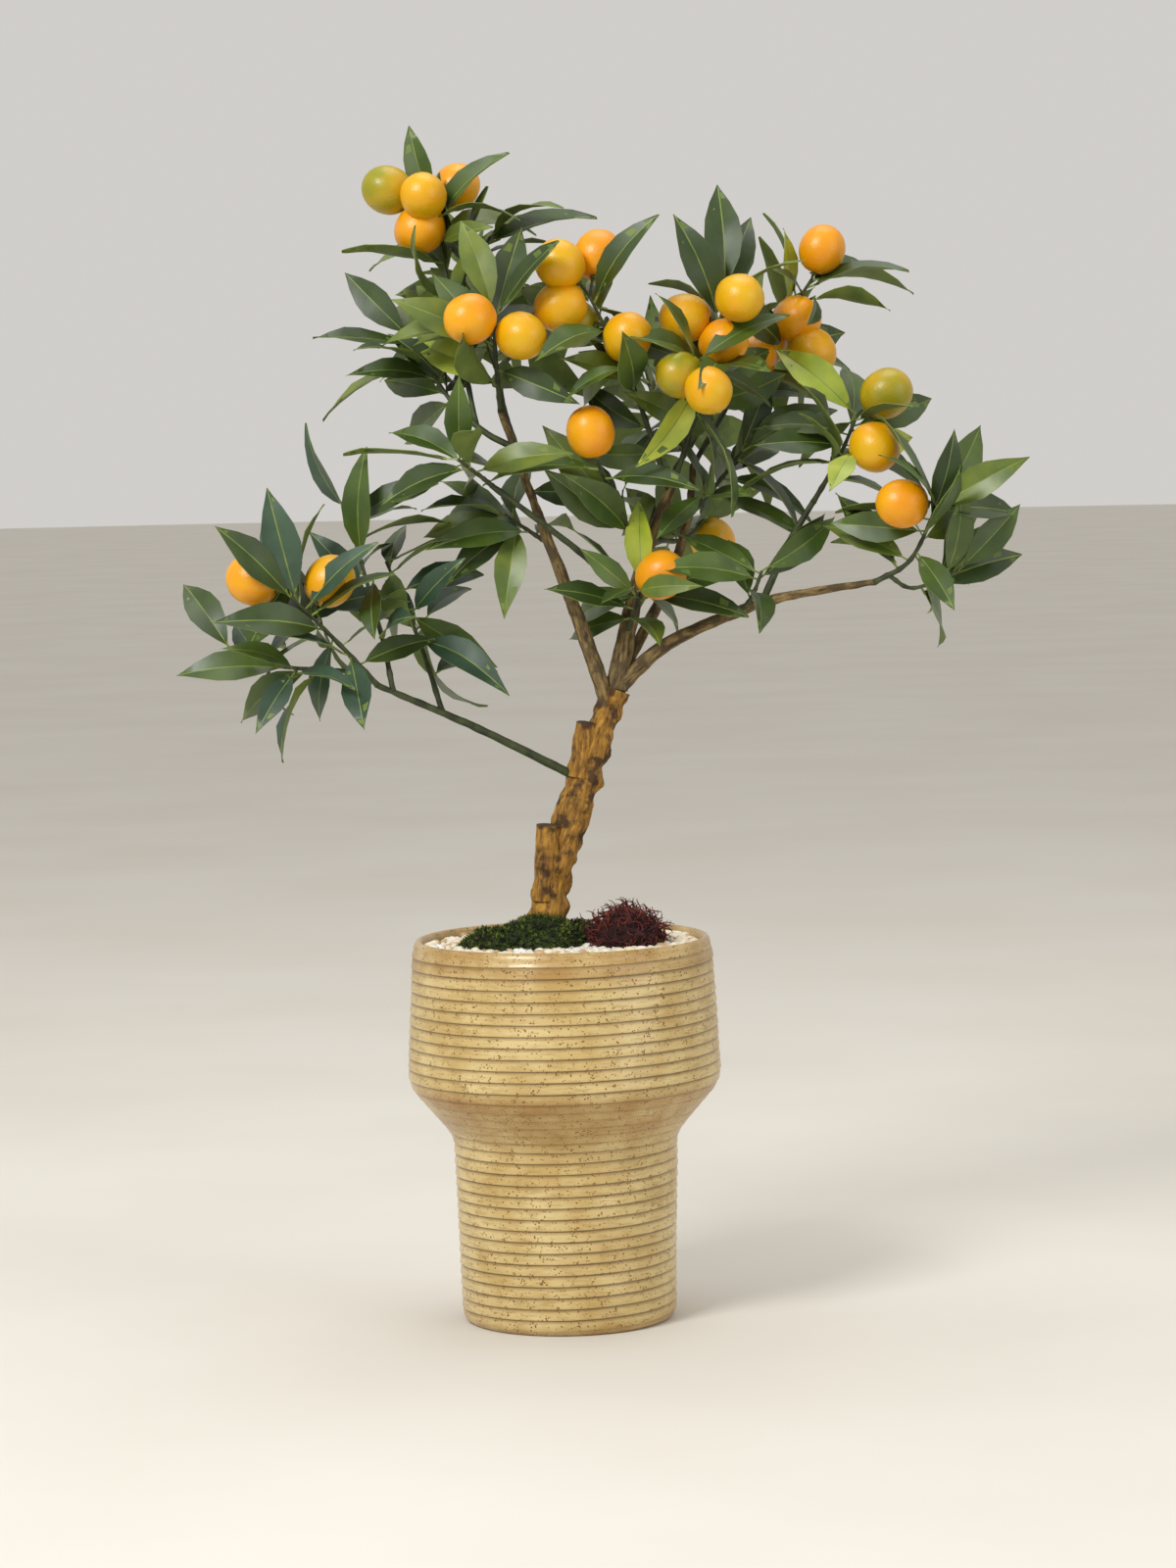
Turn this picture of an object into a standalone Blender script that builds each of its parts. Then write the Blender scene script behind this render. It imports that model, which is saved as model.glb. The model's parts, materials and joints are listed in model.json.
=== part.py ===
"""Kumquat tree in a thrown stoneware pot.

The tree is built the way it grows. A pruned trunk stands on a flat cut at soil level and forks
into tapering boughs, and each bough ends in a mass of foliage: a stem with side twigs, leaves
and fruit. The pot is turned, and holds soil with two mounds of moss round the trunk.

Every size here is in millimetres. X runs to the right, Y away from the front and Z up, and the
origin is the centre of the pot's underside.
"""

import math
import random
from collections import namedtuple

import bmesh
import bpy
from mathutils import Matrix, Vector
from mathutils.bvhtree import BVHTree

MM = 0.001
CLEAR = 0.3
WELD = 0.01

# Pot. Its side is straight between the corners, which are rounded.
POT_HEIGHT = 244
POT_WALL = 6.5
POT_FLOOR = 9
POT_SEGMENTS = 28
LIP_HEIGHT = 7
RIM_RADIUS = 94.5
BOWL_RADIUS = 100.2
BOWL_HEIGHT = 152
BOWL_ROUND = 24
NECK_RADIUS = 70.9
NECK_HEIGHT = 118
NECK_ROUND = 21
FOOT_RADIUS = 67
FOOT_ROUND = 5

# Soil and moss
SOIL_TOP = 237.5
Mound = namedtuple("Mound", "centre size")
GREEN_MOUNDS = (
    Mound((-40, -12), (28, 27, 17)),
    Mound((-14, -14), (32, 27, 25)),
    Mound((8, 14), (22, 20, 19)),
)
RED_MOUNDS = (
    Mound((42, -14), (26, 26, 21)),
    Mound((40, 10), (25, 20, 18)),
)

# Trunk, as the middle of each section and its diameter
TRUNK_SIDES = 12
TRUNK = (
    ((-12, -1, SOIL_TOP + CLEAR), 36),
    ((-12, -1, 243), 29),
    ((-9, 0, 254), 24),
    ((-4, 1, 281), 21),
    ((9, 4, 323), 22),
    ((23, 6, 362), 20),
    ((28, 7, 376), 17),
    ((38, 8, 400), 17),
)
# Where two older stems were sawn off, each a stump on the trunk's left side
STUMP_SIDES = 8
LOW_STUMP = (((-10, -3, 268), 17), ((-7, -5, 316), 15))
HIGH_STUMP = (((14, 3, 346), 17), ((18, 0, 380), 13))

# Boughs: each leaves its carrier at a share of the way along it, and tapers to its tip
Bough = namedtuple("Bough", "carrier share via thick thin sides clear_of", defaults=((),))
BOUGHS = {
    "bough_leader": Bough("trunk", 1, ((45, 11, 434), (59, 14, 487), (78, 12, 533)), 15, 6, 8),
    "bough_left": Bough(
        "trunk", 0.93, ((12, -5, 454), (-6, -15, 504), (-31, -16, 577)), 11, 4, 8, ("bough_leader",)
    ),
    "bough_right": Bough(
        "trunk", 1, ((72, 6, 429), (135, -14, 455), (200, -34, 466)), 11, 4, 8, ("bough_leader",)
    ),
    "bough_second": Bough(
        "bough_leader", 0.05, ((71, 32, 463), (86, 34, 508), (90, 42, 540)), 8, 4.4, 6,
        ("trunk", "bough_right"),
    ),
    "bough_low_left": Bough("trunk", 0.64, ((-48, -20, 378), (-111, -36, 408)), 6, 4, 6),
    "bough_cross": Bough("bough_leader", 0.42, ((18, -18, 487), (-37, -36, 531)), 5, 3.6, 6),
    "bough_upper_left": Bough("bough_left", 0.88, ((-38, -16, 562), (-52, -11, 573)), 4.4, 3.6, 6),
    "bough_upright": Bough("bough_right", 0.6, ((147, -10, 489), (164, -4, 516)), 4.8, 3.8, 6),
    "bough_back_right": Bough(
        "bough_leader", 0.35, ((67, 72, 512), (80, 96, 538)), 6, 4, 6, ("bough_second",)
    ),
    "bough_back_left": Bough("bough_left", 0.79, ((-30, 50, 578), (-33, 74, 596)), 5, 3.8, 6),
}

# Leaves, twigs and fruit
LEAF_LENGTH = 66
LEAF_LENGTH_SHARES = (0.82, 1.12)
LEAF_WIDTH_SHARE = 0.37
LEAF_WIDEST = 0.47
LEAF_THICKNESS = 0.9
LEAF_ROOT_DEPTH = 0.9
STEM_THICK = 4.0
TWIG_THICK = 3.2
TWIG_THIN = 2.0
FRUIT_WIDTH = 31
FRUIT_LENGTH = 34
STALK_THICK = 2.0
# The bare stretch at a shoot's foot, and how its leaves crowd towards its tip
BARE_FOOT = 10
CROWDING = 1.4
# How far leaves lean to the front or the back, in degrees: those in the plane seen, and the rest
SEEN_LEAN = (4, 38)
AROUND_LEAN = (25, 70)
GOLDEN_ANGLE = math.radians(137.5)
GROWTH_SEED = 11
# Leaves turn their upper side away from the crown's middle, and to the front or the back
CROWN_MIDDLE = (30, 10)
CROWN_DROOP = 40
BACK_STARTS = 60
OUTWARD_TURN = 0.8
LEAF_ROLL = 0.4
# A leaf in the way is turned aside by steps, and its space is tested a little larger than it is
LEAF_ATTEMPTS = 14
LEAF_NUDGE = 0.07
PROBE_START = 0.2
PROBE_SWELL = 0.8

# A shoot leaves its carrier at a share of the way along it and runs through its own points.
# Its hours are the clock hours that its leaves point to as the tree is seen from the front, from
# its tip down. Further leaves stand round it, and each fruit is given by its middle. A mass is a
# stem on a bough, and side twigs on that stem.
Shoot = namedtuple("Shoot", "share via hours around fruit", defaults=((), 0, ()))
Mass = namedtuple("Mass", "carrier stem twigs", defaults=((),))
MASSES = {
    "foliage_low_left_tip": Mass(
        "bough_low_left",
        Shoot(1, ((-134, -46, 435), (-162, -58, 465)), (11.5, 10.5, 0.5, 1.5, 2, 10.5, 9.5, 6.5, 2, 5.5, 2),
              3, ((-186, -52, 476), (-139, -44, 474))),
        (Shoot(0.15, ((-170, -34, 421), (-202, -31, 431)), (10.5, 1, 1.5, 9, 7), 2),),
    ),
    "foliage_low_left_rise": Mass(
        "bough_low_left",
        Shoot(0.93, ((-109, -26, 441), (-129, -12, 516)), (11, 2, 2.5, 12, 8.5, 10, 3.5), 3),
    ),
    "foliage_low_left_inner": Mass(
        "bough_low_left",
        Shoot(0.7, ((-85, -8, 432), (-106, 8, 484)), (2.5, 2, 2.5, 4, 3, 4.5), 4),
    ),
    "foliage_left_low": Mass(
        "bough_left",
        Shoot(0.56, ((-11, -6, 499), (-30, 4, 512)), (8.5, 9.5, 10, 8, 9), 5),
    ),
    "foliage_left_mid": Mass(
        "bough_cross",
        Shoot(1, ((-45, -42, 538), (-58, -50, 548)), (9, 12, 10, 8.5, 2.5), 4),
    ),
    "foliage_left_outer": Mass(
        "bough_upper_left",
        Shoot(1, ((-68, 0, 592), (-88, 12, 625)), (10.5, 9, 0.5, 8.5, 9.5, 9.5), 5),
    ),
    "foliage_left_crown": Mass(
        "bough_left",
        Shoot(1, ((-33, -26, 605), (-34, -34, 638)), (11.5, 1.5, 0.5, 9.5, 10, 2, 2.5, 10),
              6, ((-48, -52, 634), (-17, -48, 623))),
    ),
    "foliage_left_top": Mass(
        "bough_upper_left",
        Shoot(0.79, ((-60, 18, 639), (-71, 28, 704)),
              (11.5, 1.5, 2.5, 10, 9.5, 12, 10.5, 9.5, 8.5, 1, 10.5), 4,
              ((-100, 20, 718), (-77, 6, 713), (-80, 18, 693), (-57, 38, 720))),
        (Shoot(0.5, ((-52, 30, 662), (-36, 38, 688)), (1.5, 2, 2.5, 11, 0.5), 3),),
    ),
    "foliage_mid_top": Mass(
        "bough_leader",
        Shoot(0.93, ((52, -16, 591), (26, -30, 647)), (9, 1, 11.5, 8.5, 2, 8, 10, 10.5, 10, 9),
              4, ((8, -32, 667), (32, -14, 673), (8, -30, 641), (16, -14, 631), (49, -34, 621))),
    ),
    "foliage_single": Mass(
        "bough_leader",
        Shoot(0.59, ((44, -12, 510), (30, -30, 540)), (10.5, 3, 9, 10.5, 10), 3, ((25, -34, 563),)),
    ),
    "foliage_fork": Mass(
        "bough_leader",
        Shoot(0.24, ((52, -8, 455), (55, -18, 465)), (12, 2.5, 9.5, 2.5, 9.5, 9), 3, ((67, -28, 473),)),
    ),
    "foliage_leader_top": Mass(
        "bough_leader",
        Shoot(1, ((99, -10, 596), (111, -14, 647)), (12, 2, 0.5, 11.5, 1.5, 11, 10.5, 2, 2.5, 10, 10.5),
              5, ((119, -34, 644), (109, -16, 617), (86, -8, 633))),
        (Shoot(0.25, ((92, -22, 578), (92, -36, 606)), (2, 11, 9, 10.5, 5), 3,
               ((81, -40, 597), (98, -56, 587))),),
    ),
    "foliage_second": Mass(
        "bough_second",
        Shoot(0.77, ((108, 32, 532), (121, 24, 549)), (2, 4.5, 1, 3.5, 4), 6),
    ),
    "foliage_right_top": Mass(
        "bough_second",
        Shoot(1, ((120, 56, 588), (168, 44, 657)), (3, 2.5, 11.5, 12, 5, 2.5, 3, 2.5, 10), 7,
              ((175, 44, 676), (158, 34, 632), (137, 44, 617), (130, 34, 608), (167, 28, 611))),
    ),
    "foliage_right_low": Mass("bough_right", Shoot(0.52, ((124, -20, 458), (130, -26, 474)), (2, 9.5, 10), 4)),
    "foliage_right_rise": Mass(
        "bough_upright",
        Shoot(1, ((180, -10, 543), (192, -14, 570)), (10.5, 2, 2.5, 9.5, 9, 2.5, 11.5, 3.5),
              5, ((210, -20, 583), (201, -38, 550))),
    ),
    "foliage_right_end": Mass(
        "bough_right",
        Shoot(1, ((222, -45, 480), (238, -58, 514)), (10.5, 2, 1, 0.5, 10, 2, 5, 10, 10.5),
              5, ((216, -62, 515),)),
        (Shoot(0.15, ((224, -38, 462), (252, -38, 472)), (1.5, 0.5, 2.5), 2),),
    ),
    "foliage_back_right": Mass(
        "bough_back_right",
        Shoot(1, ((110, 110, 582), (140, 108, 624)), (), 12, ((118, 132, 606),)),
        (Shoot(0.15, ((70, 120, 575), (62, 126, 604)), (), 7),),
    ),
    "foliage_back_low": Mass(
        "bough_back_right", Shoot(0.5, ((84, 88, 492), (98, 112, 504)), (), 9, ((104, 118, 490),))
    ),
    "foliage_back_left": Mass(
        "bough_back_left",
        Shoot(1, ((-40, 96, 630), (-50, 96, 668)), (), 11, ((-30, 118, 640),)),
        (Shoot(0.15, ((-14, 90, 622), (4, 88, 642)), (), 6),),
    ),
}

# Finishes: base colour, roughness and metallic value
STONEWARE = ("stoneware_glaze", (0.62, 0.45, 0.21), 0.3, 0.0)
SOIL = ("potting_soil", (0.42, 0.36, 0.28), 0.95, 0.0)
GREEN_MOSS = ("green_moss", (0.05, 0.08, 0.02), 0.95, 0.0)
RED_MOSS = ("red_moss", (0.13, 0.03, 0.03), 0.95, 0.0)
BARK = ("bark", (0.30, 0.18, 0.06), 0.85, 0.0)
LEAF = ("leaf", (0.05, 0.11, 0.02), 0.45, 0.0)


def clear_scene():
    """Leave nothing from an earlier run."""
    for old in list(bpy.data.objects):
        bpy.data.objects.remove(old, do_unlink=True)


def new_collection(name):
    """Collection under the scene's own."""
    collection = bpy.data.collections.new(name)
    bpy.context.scene.collection.children.link(collection)
    return collection


def finish(name, colour, roughness, metallic):
    """Material with one Principled BSDF."""
    material = bpy.data.materials.new(name)
    material.use_nodes = True
    shader = material.node_tree.nodes["Principled BSDF"]
    shader.inputs["Base Color"].default_value = (*colour, 1)
    shader.inputs["Roughness"].default_value = roughness
    shader.inputs["Metallic"].default_value = metallic
    return material


def smooth_route(points, steps):
    """Points on a smooth curve through the given ones, with steps stretches between neighbours."""
    points = [Vector(point) for point in points]
    ends = [2 * points[0] - points[1], *points, 2 * points[-1] - points[-2]]
    curve = []
    for before, start, stop, after in zip(ends, ends[1:], ends[2:], ends[3:]):
        for step in range(steps):
            t = step / steps
            bend = (2 * before - 5 * start + 4 * stop - after) * t ** 2
            twist = (3 * start - before - 3 * stop + after) * t ** 3
            curve.append((2 * start + (stop - before) * t + bend + twist) / 2)
    curve.append(points[-1])
    return curve


def place_along(route, share):
    """Point and direction at a share of the way along a route."""
    lengths = [(b - a).length for a, b in zip(route, route[1:])]
    left = share * sum(lengths)
    for start, stop, length in zip(route, route[1:], lengths):
        if left <= length:
            break
        left -= length
    else:
        left = length
    direction = (stop - start).normalized()
    return start + direction * left, direction


def add_object(name, mesh, collection):
    """Object for a mesh, linked to a collection."""
    piece = bpy.data.objects.new(name, mesh)
    collection.objects.link(piece)
    return piece


def cleaned(mesh, weld=WELD):
    """Weld a mesh, keep its largest closed body and point its faces outwards."""
    bm = bmesh.new()
    bm.from_mesh(mesh)
    if weld:
        bmesh.ops.remove_doubles(bm, verts=bm.verts, dist=weld * MM)
    bodies = []
    unseen = set(bm.faces)
    while unseen:
        body = {unseen.pop()}
        edge_of_search = list(body)
        while edge_of_search:
            face = edge_of_search.pop()
            for edge in face.edges:
                found = [other for other in edge.link_faces if other in unseen]
                unseen.difference_update(found)
                body.update(found)
                edge_of_search.extend(found)
        bodies.append(body)
    largest = max(bodies, key=lambda faces: sum(face.calc_area() for face in faces))
    scraps = [face for face in bm.faces if face not in largest]
    bmesh.ops.delete(bm, geom=scraps, context="FACES")
    bmesh.ops.recalc_face_normals(bm, faces=bm.faces)
    bm.to_mesh(mesh)
    bm.free()
    return mesh


def applied(piece, weld=WELD):
    """Turn a piece's modifiers into its mesh."""
    depsgraph = bpy.context.evaluated_depsgraph_get()
    mesh = bpy.data.meshes.new_from_object(piece.evaluated_get(depsgraph))
    piece.modifiers.clear()
    piece.data = cleaned(mesh, weld)
    return piece


def tube(name, route, widths, sides, collection):
    """Limb swept along a route, with a width at every point and flat ends."""
    curve = bpy.data.curves.new(name, "CURVE")
    curve.dimensions = "3D"
    curve.use_fill_caps = True
    if sides == 3:
        curve.bevel_mode = "OBJECT"
        curve.bevel_object = bpy.data.objects["twig_section"]
    else:
        curve.bevel_depth = MM
        curve.bevel_resolution = sides // 2 - 2
    spline = curve.splines.new("POLY")
    spline.points.add(len(route) - 1)
    for point, place, width in zip(spline.points, route, widths):
        point.co = (*(place * MM), 1)
        point.radius = width / 2
    source = add_object(name + "_route", curve, collection)
    depsgraph = bpy.context.evaluated_depsgraph_get()
    mesh = bpy.data.meshes.new_from_object(source.evaluated_get(depsgraph))
    mesh.transform(source.matrix_world)
    bpy.data.objects.remove(source, do_unlink=True)
    return add_object(name, cleaned(mesh), collection)


def tapered(route, thick, thin):
    """Widths that fall evenly from a limb's root to its tip."""
    last = len(route) - 1
    return [thick + (thin - thick) * index / last for index in range(last + 1)]


def clearance_twin(name, route, widths, sides, guides):
    """A limb's own shape grown by the clearance all round, to cut its neighbours with."""
    grown = CLEAR / math.cos(math.pi / sides)
    stretched = list(route)
    stretched[0] = route[0] + (route[0] - route[1]).normalized() * CLEAR
    stretched[-1] = route[-1] + (route[-1] - route[-2]).normalized() * CLEAR
    twin = tube(name + "_clearance", stretched, [width + 2 * grown for width in widths], sides, guides)
    twin.hide_render = True
    twin.display_type = "WIRE"
    return twin


def cut_clear(piece, twins):
    """Cut a piece clear of the limbs that carry it."""
    for twin in twins:
        cut = piece.modifiers.new("Clear of " + twin.name, "BOOLEAN")
        cut.operation = "DIFFERENCE"
        cut.object = twin
    return applied(piece, weld=0)


def fused(piece, additions):
    """Join a collection of solids to a piece, then remove the collection."""
    union = piece.modifiers.new("Fuse", "BOOLEAN")
    union.operation = "UNION"
    union.operand_type = "COLLECTION"
    union.collection = additions
    applied(piece, weld=0)
    for part in list(additions.objects):
        bpy.data.objects.remove(part, do_unlink=True)
    bpy.data.collections.remove(additions)
    return piece


def turned(name, profile, collection):
    """Body turned round the Z axis from a profile of radii and heights."""
    bm = bmesh.new()
    points = [bm.verts.new((radius * MM, 0, height * MM)) for radius, height in profile]
    for above, below in zip(points, points[1:]):
        bm.edges.new((above, below))
    mesh = bpy.data.meshes.new(name)
    bm.to_mesh(mesh)
    bm.free()
    piece = add_object(name, mesh, collection)
    screw = piece.modifiers.new("Turn", "SCREW")
    screw.steps = POT_SEGMENTS
    screw.render_steps = POT_SEGMENTS
    screw.use_merge_vertices = True
    screw.merge_threshold = 0.0001
    screw.use_smooth_shade = True
    return applied(piece)


def rounded(corners, steps):
    """Profile through corners of radius, height and rounding, with each rounding as an arc."""
    profile = [Vector(corners[0][:2])]
    for before, (radius, height, rounding), after in zip(corners, corners[1:], corners[2:]):
        corner = Vector((radius, height))
        arrive = (corner - Vector(before[:2])).normalized()
        leave = (Vector(after[:2]) - corner).normalized()
        turn = arrive.angle_signed(leave)
        start = corner - arrive * rounding * math.tan(abs(turn) / 2)
        side = Vector((arrive.y, -arrive.x)) * math.copysign(rounding, turn)
        for step in range(steps + 1):
            bend = abs(turn) * step / steps
            profile.append(start + arrive * rounding * math.sin(bend) + side * (1 - math.cos(bend)))
    profile.append(Vector(corners[-1][:2]))
    return profile


def pot_side(inset, steps):
    """The pot's outer profile from the lip's foot to the underside's middle, moved inwards."""
    corners = (
        (RIM_RADIUS - inset, POT_HEIGHT - LIP_HEIGHT, 0),
        (BOWL_RADIUS - inset, BOWL_HEIGHT + inset / 2, BOWL_ROUND - inset),
        (NECK_RADIUS - inset, NECK_HEIGHT + inset / 2, NECK_ROUND + inset),
        (FOOT_RADIUS - inset, (POT_FLOOR if inset else 0) + max(inset - POT_WALL, 0), FOOT_ROUND),
        (0, (POT_FLOOR if inset else 0) + max(inset - POT_WALL, 0), 0),
    )
    return rounded(corners, steps)


def make_pot(parts):
    """Shell with a rounded lip and foot, open at the top and flat underneath."""
    lip_middle = RIM_RADIUS - POT_WALL / 2
    lip = []
    for step in range(1, 4):
        angle = math.pi * (1 - step / 4)
        height = POT_HEIGHT - LIP_HEIGHT * (1 - math.sin(angle))
        lip.append((lip_middle + POT_WALL / 2 * math.cos(angle), height))
    return turned("pot", [*reversed(pot_side(POT_WALL, 2)), *lip, *pot_side(0, 4)], parts)


def make_soil(parts):
    """Soil that fills the pot to just under its lip."""
    side = pot_side(POT_WALL + CLEAR, 2)
    side[0].y = SOIL_TOP
    return turned("soil", [(0, SOIL_TOP), *side], parts)


def moss_cushion(name, mounds, grown, collection):
    """Low domes on the soil, fused to one cushion."""
    domes = new_collection(name + "_domes")
    cushion = None
    for index, mound in enumerate(mounds):
        bm = bmesh.new()
        bmesh.ops.create_uvsphere(bm, u_segments=12, v_segments=8, radius=1)
        size = Vector(mound.size) + Vector((grown, grown, grown))
        bmesh.ops.transform(bm, matrix=Matrix.Diagonal((*(size * MM), 1)), verts=bm.verts)
        bmesh.ops.translate(bm, vec=Vector((*mound.centre, SOIL_TOP)) * MM, verts=bm.verts)
        level = Vector((0, 0, SOIL_TOP + CLEAR)) * MM
        everything = [*bm.verts, *bm.edges, *bm.faces]
        cut = bmesh.ops.bisect_plane(bm, geom=everything, plane_co=level, plane_no=(0, 0, 1), clear_inner=True)
        rim = [item for item in cut["geom_cut"] if isinstance(item, bmesh.types.BMEdge)]
        bmesh.ops.contextual_create(bm, geom=rim)
        mesh = bpy.data.meshes.new(name)
        bm.to_mesh(mesh)
        bm.free()
        if cushion is None:
            cushion = add_object(name, cleaned(mesh), collection)
        else:
            add_object(f"{name}_dome_{index}", cleaned(mesh), domes)
    return fused(cushion, domes)


def make_moss(parts, guides, trunk_twin):
    """Green moss round the trunk, and red moss against it."""
    green = cut_clear(moss_cushion("moss_green", GREEN_MOUNDS, 0, parts), [trunk_twin])
    green_twin = moss_cushion("moss_green_clearance", GREEN_MOUNDS, 2 * CLEAR, guides)
    green_twin.hide_render = True
    green_twin.display_type = "WIRE"
    red = cut_clear(moss_cushion("moss_red", RED_MOUNDS, 0, parts), [green_twin, trunk_twin])
    return green, red


def make_trunk(parts, guides):
    """Trunk with its flare and two sawn stumps, and its clearance twin."""
    middles = smooth_route([middle for middle, width in TRUNK], 2)
    widths = [point.x for point in smooth_route([(width, 0, 0) for middle, width in TRUNK], 2)]
    middles[1] = Vector((middles[0].x, middles[0].y, middles[1].z))
    trunk = tube("trunk", middles, widths, TRUNK_SIDES, parts)
    twin_widths = [width + CLEAR for width in widths]
    twin = clearance_twin("trunk", middles, twin_widths, TRUNK_SIDES, guides)
    for piece, grown in ((trunk, 0), (twin, 2 * CLEAR)):
        stumps = new_collection("stumps")
        for index, stump in enumerate((LOW_STUMP, HIGH_STUMP)):
            route = [Vector(middle) for middle, width in stump]
            route[-1] += (route[-1] - route[-2]).normalized() * grown / 2
            widths = [width + grown for middle, width in stump]
            tube(f"stump_{index}", route, widths, STUMP_SIDES, stumps)
        fused(piece, stumps)
    return trunk, Twin(twin, middles, TRUNK[-1][1])


def leaf_points(root, direction, face, length, start=0.0, swell=0.0):
    """The six corners of a leaf: its root, tip, two edges and both sides of its midrib.

    start moves the root out along the blade and swell grows the leaf, to test its surroundings.
    """
    side = direction.cross(face).normalized()
    width = length * LEAF_WIDTH_SHARE + swell
    thick = LEAF_THICKNESS + swell
    middle = root + direction * length * LEAF_WIDEST + face * length * 0.05
    edge = middle + face * width * 0.12
    return [
        root + direction * (start * length if start else -LEAF_ROOT_DEPTH),
        root + direction * (length + swell) - face * length * 0.06,
        edge + side * width / 2,
        edge - side * width / 2,
        middle + face * thick / 2,
        middle - face * thick / 2,
    ]


LEAF_CORNERS = ("root", "tip", "left", "right", "top", "bottom")
LEAF_FACES = ((0, 2, 4), (0, 4, 3), (1, 4, 2), (1, 3, 4), (0, 5, 2), (0, 3, 5), (1, 2, 5), (1, 5, 3))


def touches(points, trees):
    """Whether a leaf runs into any of the search trees of what stands there already."""
    shape = BVHTree.FromPolygons(points, LEAF_FACES)
    return any(shape.overlap(tree) for tree in trees)


def leaf_solid(name, points, collection):
    """Leaf of eight faces, shaped from an octahedron."""
    bm = bmesh.new()
    bmesh.ops.create_uvsphere(bm, u_segments=4, v_segments=2, radius=1)
    corners = {
        "root": (0, 0, -1), "tip": (0, 0, 1), "left": (1, 0, 0),
        "right": (-1, 0, 0), "top": (0, 1, 0), "bottom": (0, -1, 0),
    }
    for vertex in bm.verts:
        nearest = min(corners, key=lambda corner: (vertex.co - Vector(corners[corner])).length)
        vertex.co = points[LEAF_CORNERS.index(nearest)] * MM
    bmesh.ops.triangulate(bm, faces=bm.faces)
    bmesh.ops.recalc_face_normals(bm, faces=bm.faces)
    mesh = bpy.data.meshes.new(name)
    bm.to_mesh(mesh)
    bm.free()
    return add_object(name, mesh, collection)


def hour_direction(hour, lean):
    """Direction of a clock hour on the front view, leant away from the viewer by an angle."""
    angle = math.tau * hour / 12
    flat = Vector((math.sin(angle), 0, math.cos(angle)))
    return flat * math.cos(lean) + Vector((0, math.sin(lean), 0))


def leaf_face(direction, outward, roll):
    """The way a leaf's upper side looks: outwards and up to the light, square to the leaf."""
    wish = outward + Vector((0, 0, 0.9))
    face = wish - direction * wish.dot(direction)
    if face.length < 0.15:
        face = direction.orthogonal()
    return (Matrix.Rotation(roll, 3, direction) @ face.normalized()).normalized()


def leaf_shares(route, places, count):
    """Where a shoot's leaves sit, as shares of the way along: the first one at its tip."""
    leafy = 1 - BARE_FOOT / sum((b - a).length for a, b in zip(route, route[1:]))
    return [1 - leafy * (place / count) ** CROWDING for place in places]


def leaf_wishes(shoot, route, rng):
    """Root, direction and length of each leaf that a shoot would like to grow."""
    seen = leaf_shares(route, range(len(shoot.hours)), len(shoot.hours))
    for index, (hour, share) in enumerate(zip(shoot.hours, seen)):
        root, along = place_along(route, share)
        away = math.sin(GOLDEN_ANGLE * (index + 1)) * min(1, 0.3 + 0.2 * index)
        lean = math.copysign(math.radians(SEEN_LEAN[0]), away) + math.radians(SEEN_LEAN[1]) * away
        yield root, hour_direction(hour, lean), LEAF_LENGTH * rng.uniform(*LEAF_LENGTH_SHARES)
    turn = rng.uniform(0, math.tau)
    between = leaf_shares(route, [index + 0.5 for index in range(shoot.around)], shoot.around)
    for index, share in enumerate(between):
        root, along = place_along(route, share)
        turn += GOLDEN_ANGLE
        away = -1 if index % 3 == 2 else 1
        lean = away * math.radians(rng.uniform(*AROUND_LEAN))
        direction = hour_direction(12 * turn / math.tau, lean) + along * 0.3
        yield root, direction.normalized(), LEAF_LENGTH * rng.uniform(*LEAF_LENGTH_SHARES)


def fruit_solid(name, centre, axis, collection):
    """Oval kumquat along its stalk's direction."""
    bm = bmesh.new()
    bmesh.ops.create_uvsphere(bm, u_segments=8, v_segments=4, radius=1)
    size = Matrix.Diagonal((FRUIT_WIDTH / 2, FRUIT_WIDTH / 2, FRUIT_LENGTH / 2))
    turn = axis.to_track_quat("Z", "Y").to_matrix()
    for vertex in bm.verts:
        vertex.co = (turn @ (size @ vertex.co) + centre) * MM
    mesh = bpy.data.meshes.new(name)
    bm.to_mesh(mesh)
    bm.free()
    return add_object(name, mesh, collection)


def mesh_tree(piece):
    """Search tree of a solid's faces, in millimetres."""
    points = [vertex.co / MM for vertex in piece.data.vertices]
    return BVHTree.FromPolygons(points, [tuple(face.vertices) for face in piece.data.polygons])


def shoot_route(shoot, carrier):
    """Smooth route of a shoot or bough from its place on its carrier's route."""
    start, along = place_along(carrier, shoot.share)
    return smooth_route([start, *shoot.via], 2 if len(shoot.via) > 2 else 3)


def grow_fruit(name, shoot, route, additions):
    """A shoot's fruit, each on a stalk from the nearest place on it."""
    grown = []
    for index, centre in enumerate(Vector(middle) for middle in shoot.fruit):
        root = min(route[2:], key=lambda point: (point - centre).length)
        axis = (centre - root).normalized()
        grown.append(fruit_solid(f"{name}_fruit_{index}", centre, axis, additions))
        stalk = [root, (root + centre) / 2, centre]
        tube(f"{name}_stalk_{index}", stalk, [STALK_THICK] * 3, 3, additions)
    return [mesh_tree(fruit) for fruit in grown]


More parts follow.
